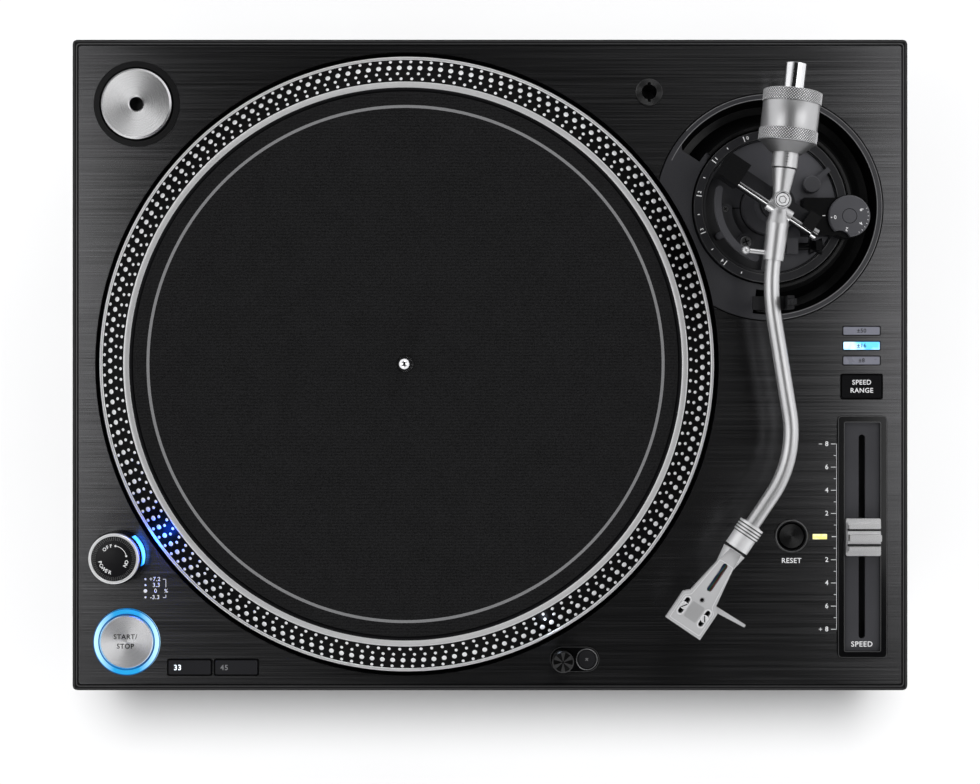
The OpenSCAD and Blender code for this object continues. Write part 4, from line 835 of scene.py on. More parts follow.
class TURNTABLE_OT_finishes(bpy.types.Operator):
    """Makes every finish and gives one to each CAD node"""
    bl_idname = "turntable.finishes"
    bl_label = "Finishes"

    def execute(self, context):
        tables = ((cast_black, BLACKS), (satin_metal, METALS), (spun, TURNED), (glowing, LENSES),
                  (tinted_plastic, PLASTICS))
        for make, table in tables:
            for name, values in table.items():
                make(name, *values)
        for name, colour in INKS.items():
            printed(name, colour)
        printed("ink_white", tuple(colours().print_white))
        brushed_deck()
        rubber()
        felt()
        uneven("steel", ((0.74, 0.74, 0.76), (0.84, 0.84, 0.85)), 90.0, 4.0, 0.14, 0.08, Metallic=1.0)
        # Painted light and shade: the dish's flange and tongue are paler as lit tops, and its sunken moat is
        # painted near black as shade.
        painted_lit_level_black("dish_black", 0.12, 3.6, DECK + 0.3, 0.1, 0.3, 0.35)
        # Painted highlight: the yoke's bar top is paler as a lit face.
        painted_lit_level_black("gimbal_black", 0.4, 2.4, high("gimbal_yoke")[2] - YOKE_STEP, 0.4, 0.3, 0.15)
        # The arm base's paler rear right is a painted highlight.
        painted_sheen_black("base_grey", 1.8, 10.5, ARM, 46.0, 0.4, 0.3)
        glowing_ring("start_glow", "start_stop_ring", (0.01, 0.24, 0.5), (0.4, 0.66, 0.8), 0.8)
        for name, nodes in WEARS.items():
            for node in nodes:
                mesh = NODES[node].data
                mesh.materials.clear()
                mesh.materials.append(FINISHES[name])
        return {"FINISHED"}


class TURNTABLE_OT_platter(bpy.types.Operator):
    """The turned platter with its black sloped band and four rows of strobe dots"""
    bl_idname = "turntable.platter"
    bl_label = "Platter"

    def execute(self, context):
        at = PLATTER[:2]
        rim_z, top_z, under_z = BAND_FOOT, PLATTER_TOP, DECK - 12
        well_r, crown_r, skirt_r, hub_r, bore_r = 147.4, 150.4, RIM_R - 7, 14, 8.06
        foot_r = RIM_R - 1.4
        seat = top_z - 2
        web = seat - 5
        hub_z = seat - 10
        body = [(bore_r, seat), (well_r - 1.8, seat), (well_r - 0.25, top_z - 0.22), (well_r + 0.15, top_z),
                (crown_r - 0.15, top_z), (crown_r, top_z - 0.12), (foot_r, rim_z - 0.1),
                (foot_r + 0.2, rim_z), (RIM_R - 0.25, rim_z), (RIM_R, rim_z - 0.25), (RIM_R, under_z),
                (skirt_r, under_z), (skirt_r, rim_z - 6), (well_r - 4.8, web), (hub_r, web),
                (hub_r, hub_z), (bore_r, hub_z)]
        platter = moved(lathe(body, 384), at)
        platter = piece("turned_platter", platter, "platter_spun", "platter")
        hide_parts("platter")

        foot = np.array([foot_r, rim_z])
        run = np.array([crown_r, top_z]) - foot
        out = np.array([run[1], -run[0]]) / np.linalg.norm(run)
        band = [foot + run * along + out * lift for along, lift in (
            (0.02, 0), (0.02, 0.04), (0.5, 0.05), (0.985, 0.04), (0.985, 0), (0.5, -0.04))]
        piece("sloped_band", moved(lathe(band, 384), at), "band_black", "platter")
        # Painted shade: a dark skin over the silver inner wall of the platter's well.
        lip = [(well_r - 1.85, seat + 0.04), (well_r - 0.02, top_z + 0.02), (well_r - 0.02, top_z + 0.05),
               (well_r - 0.4, top_z + 0.02), (well_r - 1.95, seat + 0.06)]
        piece("lip_shade", moved(lathe(lip, 256), at), "lip_black", "platter")

        small, large = sizes().small_dot, sizes().large_dot
        # Each row: its place up the band, its share of the dots, a dot's width, its turn in dots
        rows = ((0.112, 1.033, small, 0.08), (0.38, 1.0, large, -0.32), (0.638, 0.967, small, -0.71),
                (0.868, 0.933, small, -0.6))
        shapes = []
        for along, share, size, phase in rows:
            n = round(sizes().dots_per_row * share)
            r = size / MM / 2
            points, faces = lathe([[r, 0], [r * 0.86, 0.16], [r * 0.5, 0.22], [0, 0.24]], 14, closed=False)
            dome = (points * [0.82, 1.18, 1], faces)
            a = math.pi + (np.arange(n) + phase * share) * 2 * math.pi / n
            reach, height = foot + run * along + out * 0.03
            ats = np.stack([at[0] + reach * np.cos(a), at[1] + reach * np.sin(a), np.full(n, height)], 1)
            z_ways = np.stack([out[0] * np.cos(a), out[0] * np.sin(a), np.full(n, out[1])], 1)
            x_ways = np.stack([-np.sin(a), np.cos(a), np.zeros(n)], 1)
            shapes.append(copies(dome, ats, x_ways, z_ways))
        piece("strobe_dots", joined(*shapes), "dot_silver", "platter", crease=50)
        return {"FINISHED"}


class TURNTABLE_OT_mat(bpy.types.Operator):
    """The felt mat with its printed ring"""
    bl_idname = "turntable.mat"
    bl_label = "Mat"

    def execute(self, context):
        at = PLATTER[:2]
        low_z, top_z = low("slipmat")[2], high("slipmat")[2]
        r = radius_of("slipmat", PLATTER)
        edge = [(MAT_HOLE, low_z), (r - 0.3, low_z), (r, low_z + 0.4), (r, top_z - 0.7),
                (r - 0.3, top_z - 0.2), (r - 0.9, top_z)]
        top = [(q, top_z) for q in np.linspace(r - 8, MAT_HOLE + 4, 12)]
        hole = [(MAT_HOLE + 0.5, top_z), (MAT_HOLE, top_z - 0.4)]
        mat = piece("felt_mat", moved(lathe(edge + top + hole, 256), at), "felt", "slipmat")
        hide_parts("slipmat")
        line = moved(ring(*MAT_LINE, *trim(top_z), 256), at)
        band = piece("mat_ring", line, "ink_grey", "slipmat")
        return {"FINISHED"}


def tempo_scale():
    """The print beside the slider: a long line, a mark at every eighth of its half length, a number at
    every quarter, and a minus and a plus sign at its ends."""
    mid_y = middle("slider_bezel")[1]
    x = low("slider_bezel")[0] - 0.45
    end = SLIDER_TRAVEL + 0.1
    long, short, thin = 3.0, 1.5, 0.15
    shapes = [bar(x - 0.14, x + 0.14, mid_y - end, mid_y + end, DECK)]
    for i in range(-8, 9):
        y = mid_y - i * SLIDER_TRAVEL / 8
        reach, half = (long if i % 2 == 0 else short, thin) if i else (2.6, 0.2)
        shapes.append(bar(x - reach, x, y - half, y + half, DECK))
    number_x, sign_x = x - 5.3, x - 8.7
    for i in (-4, -3, -2, -1, 1, 2, 3, 4):
        at = (number_x, mid_y - i * SLIDER_TRAVEL / 4, DECK)
        shapes.append(lettering(str(2 * abs(i)), 2.7, at, bold=0.12))
    top, bottom = mid_y + SLIDER_TRAVEL, mid_y - SLIDER_TRAVEL
    for y in (top, bottom):
        shapes.append(bar(sign_x - 0.9, sign_x + 0.9, y - thin, y + thin, DECK))
    shapes.append(bar(sign_x - thin, sign_x + thin, bottom - 0.9, bottom + 0.9, DECK))
    return shapes


def strobe_key():
    """The print beside the strobe window: a dot for each row with its per cent, and a bracket."""
    dots_x, hook = -186.7, -175.6
    shapes = []
    # Each row: its place across the deck, its words, where they stand, its dot's radius
    for y, text, x, r in ((-116.1, "+7.2", -181.6, 0.55), (-119.3, "3.3", -180.8, 0.55),
                          (-122.45, "0", -181.2, 1.0), (-125.9, "-3.3", -181.6, 0.55)):
        shapes += [dot(r, (dots_x, y), DECK), lettering(text, 2.3, (x, y, DECK), bold=0.08)]
    # Each bar of the bracket: how far it reaches to the left of its line, and its two ends
    for left, y0, y1 in ((0.15, -120.4, -116.0), (1.6, -116.25, -115.95), (0.15, -126.0, -124.5),
                         (1.6, -126.15, -125.85)):
        shapes.append(bar(hook - left, hook + 0.15, y0, y1, DECK))
    shapes.append(lettering("%", 2.1, (hook + 0.1, -122.45, DECK), bold=0.06))
    return shapes


class TURNTABLE_OT_deck(bpy.types.Operator):
    """The panel's edge line, a painted highlight, the printed scales and words on the deck, and the lit
    windows
    """
    bl_idname = "turntable.deck"
    bl_label = "Deck print"

    def execute(self, context):
        letter = sizes().letter / MM
        # Painted highlight: a grey metal line round the panel, where its chamfered edge catches the light.
        edge = rim((0, 0), high("top_panel"), 1.4, 0.85, (2.2, 1.7), 6, DECK - 0.02, DECK + 0.03)
        piece("rim_highlight_line", edge, "rim_grey", "cabinet")
        reset = middle("reset_button")
        word = lettering("RESET", letter, (reset[0], reset[1] - 13.4, DECK), bold=0.1)
        white = joined(*tempo_scale(), word, *strobe_key())
        piece("deck_print", white, "ink_white", "cabinet")

        foot = (middle("slider_plate")[0], low("slider_plate")[1] + 3.4, high("slider_plate")[2])
        word = lettering("SPEED", letter * 1.06, foot, bold=0.13)
        piece("tempo_word", word, "ink_white", "cabinet")
        cap = middle("tempo_range_button")
        cap_top = high("tempo_range_button")[2]
        words = [lettering(text, letter * 0.96, (cap[0], cap[1] + y, cap_top), bold=0.06)
                 for text, y in (("SPEED", 2.2), ("RANGE", -2.2))]
        piece("range_words", joined(*words), "ink_white", "tempo_range_button")

        lamp_top = high("indicator_lamps")[2]
        pane = trim(lamp_top, 0.04)
        half = (9.8, 2.1)
        dim, lit, edges = [], [], []
        # Each window: its place across the deck, its number, the windows that it belongs to
        for y, number, shown in ((18.5, "50", dim), (10.4, "16", lit), (2.4, "8", dim)):
            at = (cap[0], y)
            shown.append(prism(rounded(at, half, 0.5), *pane))
            edges.append(rim(at, half, 0.55, 0.05, (0.8, 0.5), 3, *trim(lamp_top)))
            word = lettering("\u00b1" + number, 2.3, (*at, pane[1]), bold=0.04)
            piece("window_number_" + number, word, "ink_dark", "cabinet")
        piece("window_edges", joined(*edges), "deep_black", "cabinet")
        piece("dim_windows", joined(*dim), "window_dim", "cabinet")
        piece("lit_window", joined(*lit), "lit_window", "cabinet")
        amber = prism(rounded((178.7, -93.0), (3.9, 1.4), 0.4), *pane)
        piece("amber_lamp", amber, "lit_amber", "cabinet")
        return {"FINISHED"}


class TURNTABLE_OT_left_controls(bpy.types.Operator):
    """The power knob's ring, ribbed face and words, the start button's words and the speed numbers"""
    bl_idname = "turntable.left_controls"
    bl_label = "Power, start and speed"

    def execute(self, context):
        knob = middle("power_knob")
        at = knob[:2]
        top, stem = high("power_knob")[2], low("power_knob")[2]
        under = high("strobe_housing")[2] + 0.3
        r = radius_of("power_knob", knob)
        shell = [(0, top - 0.75), (r - 1.5, top - 0.75), (r - 1.4, top - 0.2), (r - 1.15, top),
                 (r - 0.45, top), (r - 0.1, top - 0.25), (r, top - 0.7), (r, under + 0.4), (r - 0.4, under),
                 (3, under), (3, stem), (0, stem)]
        cap = moved(lathe(shell, 128, closed=False), at)
        cap = piece("power_knob_ring", cap, "knob_ring", "power_knob")
        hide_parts("power_knob")
        face_z = top - 0.6
        print_z = face_z + 0.12
        disc = lathe([(0, print_z), (7.5, print_z), (9.2, face_z), (r - 1.55, face_z),
                      (r - 1.55, face_z - 0.14), (0, face_z - 0.14)], 96, closed=False)
        piece("power_knob_face", moved(disc, at), "knob_face", "power_knob")
        count = 64
        a = np.arange(count) * 2 * math.pi / count
        outline = [[9.6, -0.16], [r - 1.7, -0.26], [r - 1.7, 0.26], [9.6, 0.16]]
        rib = prism(eased(outline, 0.1, 2), face_z - 0.02, face_z + 0.3)
        out = np.stack([np.cos(a), np.sin(a), np.zeros(count)], 1)
        ribs = copies(rib, np.zeros((count, 3)), out, np.tile(UP, (count, 1)))
        piece("power_knob_ribs", moved(ribs, at), "rib_black", "power_knob")

        arc_r, end_r = 6.9, 0.55
        words = [arc_lettering("OFF", 1.9, knob, arc_r, 118, -16, print_z, 0.05),
                 arc_lettering("ON", 1.9, knob, 7.0, -22, -15, print_z, 0.05),
                 arc_lettering("POWER", 2.0, knob, 7.6, 224, 15, print_z, 0.05)]
        arc = np.radians(np.linspace(82, 12, 24))
        path = np.c_[knob[0] + arc_r * np.cos(arc), knob[1] + arc_r * np.sin(arc)]
        words.append(flat_band(path, 0.28, print_z, print_z + ink()))
        words += [dot(end_r, end, print_z, 20) for end in (path[0], path[-1])]
        piece("power_words", joined(*words), "ink_white", "power_knob")

        start = middle("start_stop_button")
        start_r = radius_of("start_stop_button", start)
        glow_r = radius_of("start_stop_ring", start)
        line = trim(high("start_stop_ring")[2])
        # Painted light: the start ring's blue light painted as a faint glow in the gap round the button and
        # along the ring's outer edge.
        edges = joined(ring(start_r + 0.32, start_r + 0.95, *line, 128),
                       ring(glow_r - 0.45, glow_r - 0.02, *line, 128))
        piece("start_ring_painted_glow", moved(edges, start[:2]), "deep_glow", "cabinet")
        x, top = start[0] - 0.6, high("start_stop_button")[2]
        words = [lettering(text, 2.75, (x, start[1] + y, top), bold=0.09)
                 for text, y in (("START/", 2.7), ("STOP", -2.4))]
        piece("start_words", joined(*words), "deep_black", "start_stop_button")

        frames = []
        for node in ("speed_button_33", "speed_button_45", "tempo_range_button"):
            half = high(node) - middle(node)
            frames.append(rim(middle(node), half, 0.95, 0.3, (1.3, 0.8), 4, DECK + 0.01, DECK + 0.06))
        piece("speed_button_frames", joined(*frames), "deep_black", "cabinet")
        for number, look in (("33", "lit_number"), ("45", "ink_grey")):
            node = "speed_button_" + number
            place = (low(node)[0] + 4.9, middle(node)[1] - 0.2, high(node)[2])
            piece(node + "_number", lettering(number, 3.0, place, bold=0.12), look, node)
        return {"FINISHED"}


def bead(inner, outer, foot, shoulder, count):
    """A thin round trim whose section is a plate with a low ridge along its middle."""
    return lathe([[inner, foot], [outer, foot], [outer, shoulder], [(inner + outer) / 2, shoulder + 0.1],
                  [inner, shoulder]], count)


class TURNTABLE_OT_right_controls(bpy.types.Operator):
    """The slider's frame lines as painted highlights and its cap's grooves as painted shade, the reset trim
    and the stylus lamp's fan and rings
    """
    bl_idname = "turntable.right_controls"
    bl_label = "Slider, reset and stylus lamp"

    def execute(self, context):
        bezel = middle("slider_bezel")
        top = high("slider_bezel")
        half = top - bezel
        # Painted highlights: two grey lines along the glossy bezel's inner and outer edges.
        for name, outer, inner, radii in (("slider_inner_highlight", -3.35, -3.75, (1.2, 1.0)),
                                          ("slider_bezel_highlight", -0.25, -0.55, (2.2, 2.0))):
            line = rim(bezel, half, outer, inner, radii, 5, *trim(top[2]))
            piece(name, line, "rim_grey", "cabinet")
        cap = middle("slider_cap")
        body_top = high("slider_cap")[2] - 5.0
        # Painted shade: dark strips where the cap's two grooves are.
        grooves = [moved(plate(-9.0, 9.0, y - 0.65, y + 0.65, body_top - 0.02, body_top + 0.06), cap[:2])
                   for y in (-4.1, 4.1)]
        piece("slider_cap_groove_shade", joined(*grooves), "ink_dark", "slider_cap")

        bezel_top = high("button_bezels")[2]
        around = moved(bead(8.1, 8.9, bezel_top - 0.1, bezel_top + 0.02, 96), middle("reset_button")[:2])
        piece("reset_trim", around, "rim_grey", "cabinet")
        button = middle("light_button")
        r = radius_of("light_button", button)
        around = moved(bead(r + 0.35, r + 0.85, DECK - 0.1, bezel_top + 0.05, 72), button[:2])
        piece("light_button_ring", around, "rim_grey", "cabinet")
        mark_z = high("light_button")[2]
        mark = moved(cross(0.9, 0.2, mark_z, mark_z + 0.06), button[:2], 40)
        piece("light_button_mark", mark, "ink_grey", "light_button")

        lamp = middle("stylus_lamp")
        r = radius_of("stylus_lamp", lamp) - 0.7
        spread = np.radians(np.linspace(-13, 13, 6))
        arc = np.c_[np.cos(spread), np.sin(spread)]
        wedge = prism(np.concatenate([arc * 0.5, (arc * r)[::-1]]), *trim(high("stylus_lamp")[2], 0.04))
        wedges = [moved(wedge, lamp[:2], 90 + 60 * i) for i in range(6)]
        piece("stylus_lamp_fan", joined(*wedges), "fan_grey", "stylus_lamp")
        length = button[0] - lamp[0]
        line = band_between(pill(length + 13.6, 13.6), pill(length + 13.0, 13.0), *trim(bezel_top))
        line = moved(line, ((lamp[0] + button[0]) / 2, lamp[1]))
        piece("stylus_lamp_trim", line, "rim_grey", "cabinet")
        return {"FINISHED"}


class TURNTABLE_OT_arm_base(bpy.types.Operator):
    """The height ring's scale, the dish's painted highlights, gap lines and painted shade lines, the base's
    screws with painted shade in their crosses, and the anti-skating numbers
    """
    bl_idname = "turntable.arm_base"
    bl_label = "Arm base"

    def execute(self, context):
        at = ARM[:2]
        top = high("height_ring")[2]
        outer = radius_of("height_ring", ARM)
        mid_r = outer - 2.3
        marks = []
        for i in range(10):
            heading = 111.4 + 15.0 * i
            numbered = i % 2 == 0
            half = 1.5 if numbered else 0.6
            marks.append(moved(bar(mid_r - half, mid_r + half, -0.22, 0.22, top), at, heading))
            if numbered:
                beside = heading - 3.0
                place = (*polar(at, mid_r, beside), top)
                marks.append(lettering(str(i // 2), 1.9, place, beside - 90, bold=0.06))
        piece("height_scale", joined(*marks), "ink_white", "height_ring")
        edges = joined(*(ring(outer - a, outer - b, *trim(top, 0.02), 192)
                         for a, b in ((4.55, 4.3), (0.35, 0.1))))
        piece("height_ring_lines", moved(edges, at), "rim_grey", "height_ring")

        # Painted highlights: two pale lines along the dish's flange, where its edges catch the light.
        highlight_z = (DECK + 0.28, DECK + 0.34)
        lines = arcs((58.4, 58.75, *highlight_z, 256, 245.0, 269.5), (60.85, 61.15, *highlight_z, 256, 228.0, 269.5))
        piece("dish_rim_highlights", moved(lines, at), "ink_grey", "cabinet")
        # Dark lines: along the dish's outer edge and round the height ring they mark real gaps; round the
        # plate's steps they are painted shade.
        gaps = arcs((61.3, 61.95, DECK + 0.01, DECK + 0.05, 256, 286.0, 239.5),
                    (42.2, 42.6, RING_STEP, RING_STEP + 0.04, 192, 241.0, 263.0),
                    (35.5, 35.95, PLATE_STEP - 0.02, PLATE_STEP + 0.03, 160, 244.0, 264.0),
                    (15.0, 15.5, PLATE_STEP - 0.02, PLATE_STEP + 0.03, 96, 110.0, 266.0))
        piece("dish_gap_and_shade_lines", moved(gaps, at), "deep_black", "cabinet")
        # Painted shade: dark lines on the pocket's floor along its walls and round the kidney in it.
        floor = (POCKET - 0.02, POCKET + 0.04)
        pocket = joined(arcs((34.0, 34.55, *floor, 160, 108.0, 152.0), (19.6, 20.2, *floor, 96, 52.0, 183.0),
                             (25.8, 26.4, *floor, 96, 44.0, 183.0), (15.1, 15.7, *floor, 96, 108.0, 152.0)),
                        moved(plate(15.2, 19.8, -0.3, 0.3, *floor), (0, 0), 181.0))
        piece("pocket_shade_lines", moved(pocket, at), "deep_black", "arm_base")

        z = BASE_SCREW_TOP
        head = lathe([[0, z - 0.3], [3.0, z - 0.3], [3.0, z + 0.05], [2.7, z + 0.28], [1.6, z + 0.36],
                      [0, z + 0.36]], 48, closed=False)
        boss = polar(at, 23, 235.5)
        piece("base_screw_head", moved(head, boss), "rim_grey", "arm_base")
        # Painted shade: a dark cross where the screw's recess is.
        recess = moved(cross(1.9, 0.35, z + 0.3, z + 0.4), boss, 20)
        piece("base_screw_cross_shade", recess, "deep_black", "arm_base")
        z = DECK + 0.4
        small = (127.5, 84.5)
        head = lathe([[0, z - 0.2], [1.7, z - 0.2], [1.6, z + 0.12], [0, z + 0.18]], 36, closed=False)
        piece("plate_screw_head", moved(head, small), "dark_steel", "arm_base")
        # Painted shade: a dark cross where the screw's recess is.
        recess = moved(cross(1.1, 0.2, z + 0.12, z + 0.22), small, 35)
        piece("plate_screw_cross_shade", recess, "deep_black", "arm_base")

        z = high("anti_skate_dial")[2]
        dial = pivot("skate_turn")[:2]
        white = [lettering("0", 2.1, (*polar(dial, 7.7, 186.0), z), 186.0 + 180, bold=0.05)]
        # Each number: its heading from the dial's axis and its distance
        for text, heading, reach in (("2", 258.0, 7.2), ("4", 327.0, 7.1), ("6", 27.5, 7.1)):
            white.append(lettering(text, 2.1, (*polar(dial, reach, heading), z), heading - 90, bold=0.05))
        white += [moved(bar(9.6, 10.3, -0.12, 0.12, z), dial, heading) for heading in range(-60, 36, 12)]
        white.append(dot(0.4, polar(dial, 9.65, 185), z, 16))
        piece("anti_skate_numbers", joined(*white), "ink_white", "anti_skate_dial")
        gap = moved(ring(3.72, 3.98, z - 0.5, z - 0.4, 64), dial)
        piece("anti_skate_button_line", gap, "deep_black", "anti_skate_dial")
        mark = bar(177.0, 178.6, 79.3, 79.7, high("anti_skate_housing")[2])
        piece("anti_skate_mark", mark, "ink_white", "arm_base")
        return {"FINISHED"}


class TURNTABLE_OT_arm(bpy.types.Operator):
    """The knurled counterweight, the shaft, the pivot's sleeves, the cap screw and the sleeve's scale"""
    bl_idname = "turntable.arm"
    bl_label = "Arm and counterweight"

    def execute(self, context):
        front, rear = -30.5, -57.5
        bore, recess, end_r, drum_r, band_r = 9.05, 12.4, 14.4, 14.75, 15.35
        body = [(bore, front), (end_r, front), (drum_r, front - 0.35), (drum_r, front - 6.6),
                (14.8, front - 6.75), (14.8, rear + 6.75), (drum_r, rear + 6.6), (drum_r, rear + 0.35),
                (end_r, rear), (12.6, rear), (recess, rear + 0.2), (recess, rear + 13), (bore, rear + 13)]
        weight = along_arm(lathe(body, 160))
        weight = piece("turned_counterweight", weight, "weight_satin", "counterweight")
        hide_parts("counterweight")
        # Painted shade: a dark metal core under each knurled band, showing in the knurls' valleys.
        under = joined(*(ring(14.7, 15.13, z0, z1, 128)
                         for z0, z1 in ((front - 6.4, front - 0.3), (rear + 0.3, rear + 6.4))))
        piece("counterweight_valley_shade", along_arm(under), "rim_grey", "counterweight")
        pitch = sizes().knurl_pitch / MM
        bands = joined(*(knurl_band(band_r, 0.4, z0, z1, pitch)
                         for z0, z1 in ((front - 6.45, front - 0.25), (rear + 0.25, rear + 6.45))))
        bands = along_arm(bands)
        piece("counterweight_knurls", bands, "knurl_silver", "counterweight", crease=20)
        shaft = lathe([[5.2, -71.9], [5.3, -71.98], [5.44, -71.85], [5.44, -57.7], [5.35, -57.6],
                       [5.2, -57.6]], 96)
        piece("polished_shaft", along_arm(shaft), "steel", "arm")

        lift_at, lift_way = pivot("arm_lift"), axis("arm_lift")
        knob = mapped(fluted(2.7, 0.2, 20, 20.45, 23.15), lift_at, UP, -lift_way)
        piece("pivot_knurl", knob, "dark_chrome", "gimbal")
        for name, r, ends, look, slot in (
                ("pivot_sleeves", 0.95, ((7.2, 18.6), (-12.4, -7.2)), "steel", "steel"),
                ("pivot_covers", 1.0, ((18.6, 24.6), (-20.4, -12.4)), "deep_black", "black_gloss")):
            tubes = joined(*(ring(0.3, r, z0, z1, 24) for z0, z1 in ends))
            piece(name, mapped(tubes, lift_at, UP, lift_way), look, "gimbal")

        z = CAP_SCREW_TOP
        collar = lathe([[3.0, z - 0.5], [3.95, z - 0.5], [3.95, z + 0.02], [3.75, z + 0.18], [3.2, z + 0.18],
                        [3.0, z + 0.02]], 72)
        piece("cap_screw_ring", moved(collar, ARM[:2]), "steel", "arm")
        floor = prism(circle(3.05), z - 0.4, z + 0.01)
        piece("cap_screw_floor", moved(floor, ARM[:2]), "shell_silver", "arm")
        # Painted shade: a dark hexagon where the screw's socket walls are.
        hexagon = band_between(circle(2.15, 6), circle(1.75, 6), z, z + 0.05)
        piece("cap_screw_hexagon_shade", moved(hexagon, ARM[:2], 12), "ink_dark", "arm")

        r = 6.75
        scale = [plate(r - 0.05, r + 0.03, -0.1, 0.1, -25.4, -17.8)]
        scale += [plate(r - 0.08, r + 0.03, -0.7, 0.7, z - 0.1, z + 0.1)
                  for z in (-24.0, -22.6, -21.2, -19.8)]
        piece("sleeve_scale", along_arm(joined(*scale)), "ink_dark", "arm")
        # Painted shade: a dark ring where the sleeve's groove is.
        groove = along_arm(ring(5.35, 5.5, -17.3, -16.75, 72))
        piece("sleeve_groove_shade", groove, "deep_black", "arm")
        return {"FINISHED"}


class TURNTABLE_OT_headshell(bpy.types.Operator):
    """The headshell's screws, slot rims, lead wires and edge line, and the collar's grooves and seal, with
    painted shade in the screws' slots and the collar's grooves
    """
    bl_idname = "turntable.headshell"
    bl_label = "Headshell"

    def execute(self, context):
        top, front = 2.6, 64.9
        screw_x = front - 10.5
        # Painted shade: dark rings where the collar's grooves are.
        grooves = joined(*(ring(6.38, 6.5, z, z + 0.55, 96) for z in (1.3, 3.0, 4.6, 6.2)))
        piece("collar_groove_shade", along_shell(grooves), "ink_dark", "locking_collar")
        seal = lathe([[4.9, 15.0], [5.35, 15.05], [5.55, 15.5], [5.35, 15.95], [4.9, 16.0]], 64)
        piece("collar_seal", along_shell(seal), "seal_black", "arm")

        edge = band_between(pill(11.2, 4.2), pill(9.5, 2.6), *trim(top, 0.35))
        head = lathe([[0, top + 0.2], [2.0, top + 0.2], [2.0, top + 0.9], [1.7, top + 1.25],
                      [0, top + 1.35]], 40, closed=False)
        # Painted shade: dark plates on the screw heads where their slots are.
        slot = plate(-1.7, 1.7, -0.25, 0.25, top + 1.2, top + 1.38)
        rims, heads, slots = [], [], []
        for side in (-1, 1):
            at = (screw_x, side * 6.35)
            rims.append(moved(edge, at))
            heads.append(moved(head, at))
            slots.append(moved(slot, at, 35 * side))
        piece("slot_rims", on_shell(joined(*rims)), "shell_silver", "arm", bevel=0.12)
        piece("cartridge_screws", on_shell(joined(*heads)), "shell_silver", "arm")
        piece("cartridge_screw_slot_shade", on_shell(joined(*slots)), "deep_black", "arm")

        patch = prism(rounded((screw_x, 0), (4.6, 3.6), 0.8), *trim(top, 0.05))
        piece("shell_recess", on_shell(patch), "shell_shadow", "arm")
        small = moved(ring(1.15, 1.55, *trim(top), 36), (screw_x - 7.4, 0))
        piece("shell_hole_ring", on_shell(small), "shell_shadow", "arm")
        outer = np.array([[24, -4.2], [front - 17.5, -6.6], [front - 15.2, -9.4], [front - 1.3, -9.4]])
        inner = np.array([[24.4, -3.8], [front - 17.3, -6.2], [front - 14.9, -9.0], [front - 1.7, -9.0]])
        lines = [eased(np.concatenate([half, half[::-1] * [1, -1]]), r, 4)
                 for half, r in ((outer, 1.0), (inner, 0.9))]
        line = band_between(*lines, *trim(top, 0.12))
        piece("shell_edge_line", on_shell(line), "shell_silver", "arm")

        floor = moved(prism(pill(16.6, 2.8), -1.1, -0.8), (32.9, 0))
        piece("window_floor", on_shell(floor), "deep_black", "arm")
        x = np.linspace(24.7, 41.1, 24)
        # Each wire: its place across the window, and where its two waves start
        for wire, y, phase in (("lead_white", -1.05, 0.0), ("lead_blue", -0.35, 1.4),
                               ("lead_green", 0.35, 2.6), ("lead_red", 1.05, 4.0)):
            path = np.stack([x, y + 0.12 * np.sin(x * 0.7 + phase), 0.1 + 0.5 * np.sin(x * 0.45 + phase)], 1)
            piece(wire, on_shell(tube_along(path, 0.3)), wire, "arm")
        return {"FINISHED"}


class TURNTABLE_OT_rear(bpy.types.Operator):
    """The rear sockets' plated shells and coloured insulators"""
    bl_idname = "turntable.rear"
    bl_label = "Rear sockets"

    def execute(self, context):
        centre = middle("signal_terminals")
        root = high("signal_terminals")[1] - 14

        def facing_back(shape, x):
            return mapped(shape, (centre[0] + x, root, centre[2]), (1, 0, 0), (0, 1, 0))

        barrel = lathe([[3.3, 0], [4.25, 0], [4.25, 8.9], [4.0, 9.1], [3.5, 9.1], [3.3, 8.9]], 48)
        plug = lathe([[1.4, 1.5], [3.32, 1.5], [3.32, 6.2], [3.0, 6.5], [1.5, 6.5], [1.4, 6.3]], 48)
        shells = []
        for x, wire in ((-15, "lead_white"), (3, "lead_red")):
            shells.append(facing_back(barrel, x))
            piece("socket_" + wire, facing_back(plug, x), wire, "cabinet")
        tip = lathe([[0, 7.0], [1.9, 7.0], [1.9, 9.1], [0, 9.3]], 32, closed=False)
        shells.append(facing_back(joined(fluted(4.15, 0.25, 20, 3.1, 7.1), tip), 20))
        piece("socket_shells", joined(*shells), "gold_plate", "cabinet")
        return {"FINISHED"}


def add_light(name, kind, place=(0, 0, 0), turn=(0, 0, 0), **values):
    """A light at a place in metres, turned by angles in radians, with its settings."""
    light = bpy.data.lights.new(name, kind)
    for key, value in values.items():
        setattr(light, key, value)
    holder = bpy.data.objects.new(name, light)
    holder.location = place
    holder.rotation_euler = turn
    bpy.context.scene.collection.objects.link(holder)
    return holder


def panel_light(name, place, width, depth, radiance):
    """A rectangle of light overhead, facing down, its power being radiance times area."""
    energy = radiance * width * depth
    add_light(name, "AREA", place, shape="RECTANGLE", size=width, size_y=depth, energy=energy)


def softbox(name, azimuth, elevation, distance, width, height, power):
    """A rectangle of light that faces the middle from a direction and a distance: its place is
    (d cos e cos a, d cos e sin a, d sin e)."""
    a, e = math.radians(azimuth), math.radians(elevation)
    flat = distance * math.cos(e)
    place = (flat * math.cos(a), flat * math.sin(a), distance * math.sin(e))
    turn = (math.pi / 2 - e, 0, a + math.pi / 2)
    add_light(name, "AREA", place, turn, shape="RECTANGLE", size=width, size_y=height, energy=power)


def spill(name, node, across, back, power, colour, size):
    """A small lamp just above the deck, that shines on the platter's band from beside a lit node."""
    place = (middle(node) + [across, back, 0]) * [1, 1, 0] + UP * (DECK + 12)
    add_light(name, "POINT", place * MM, energy=power, color=colour, shadow_soft_size=size)


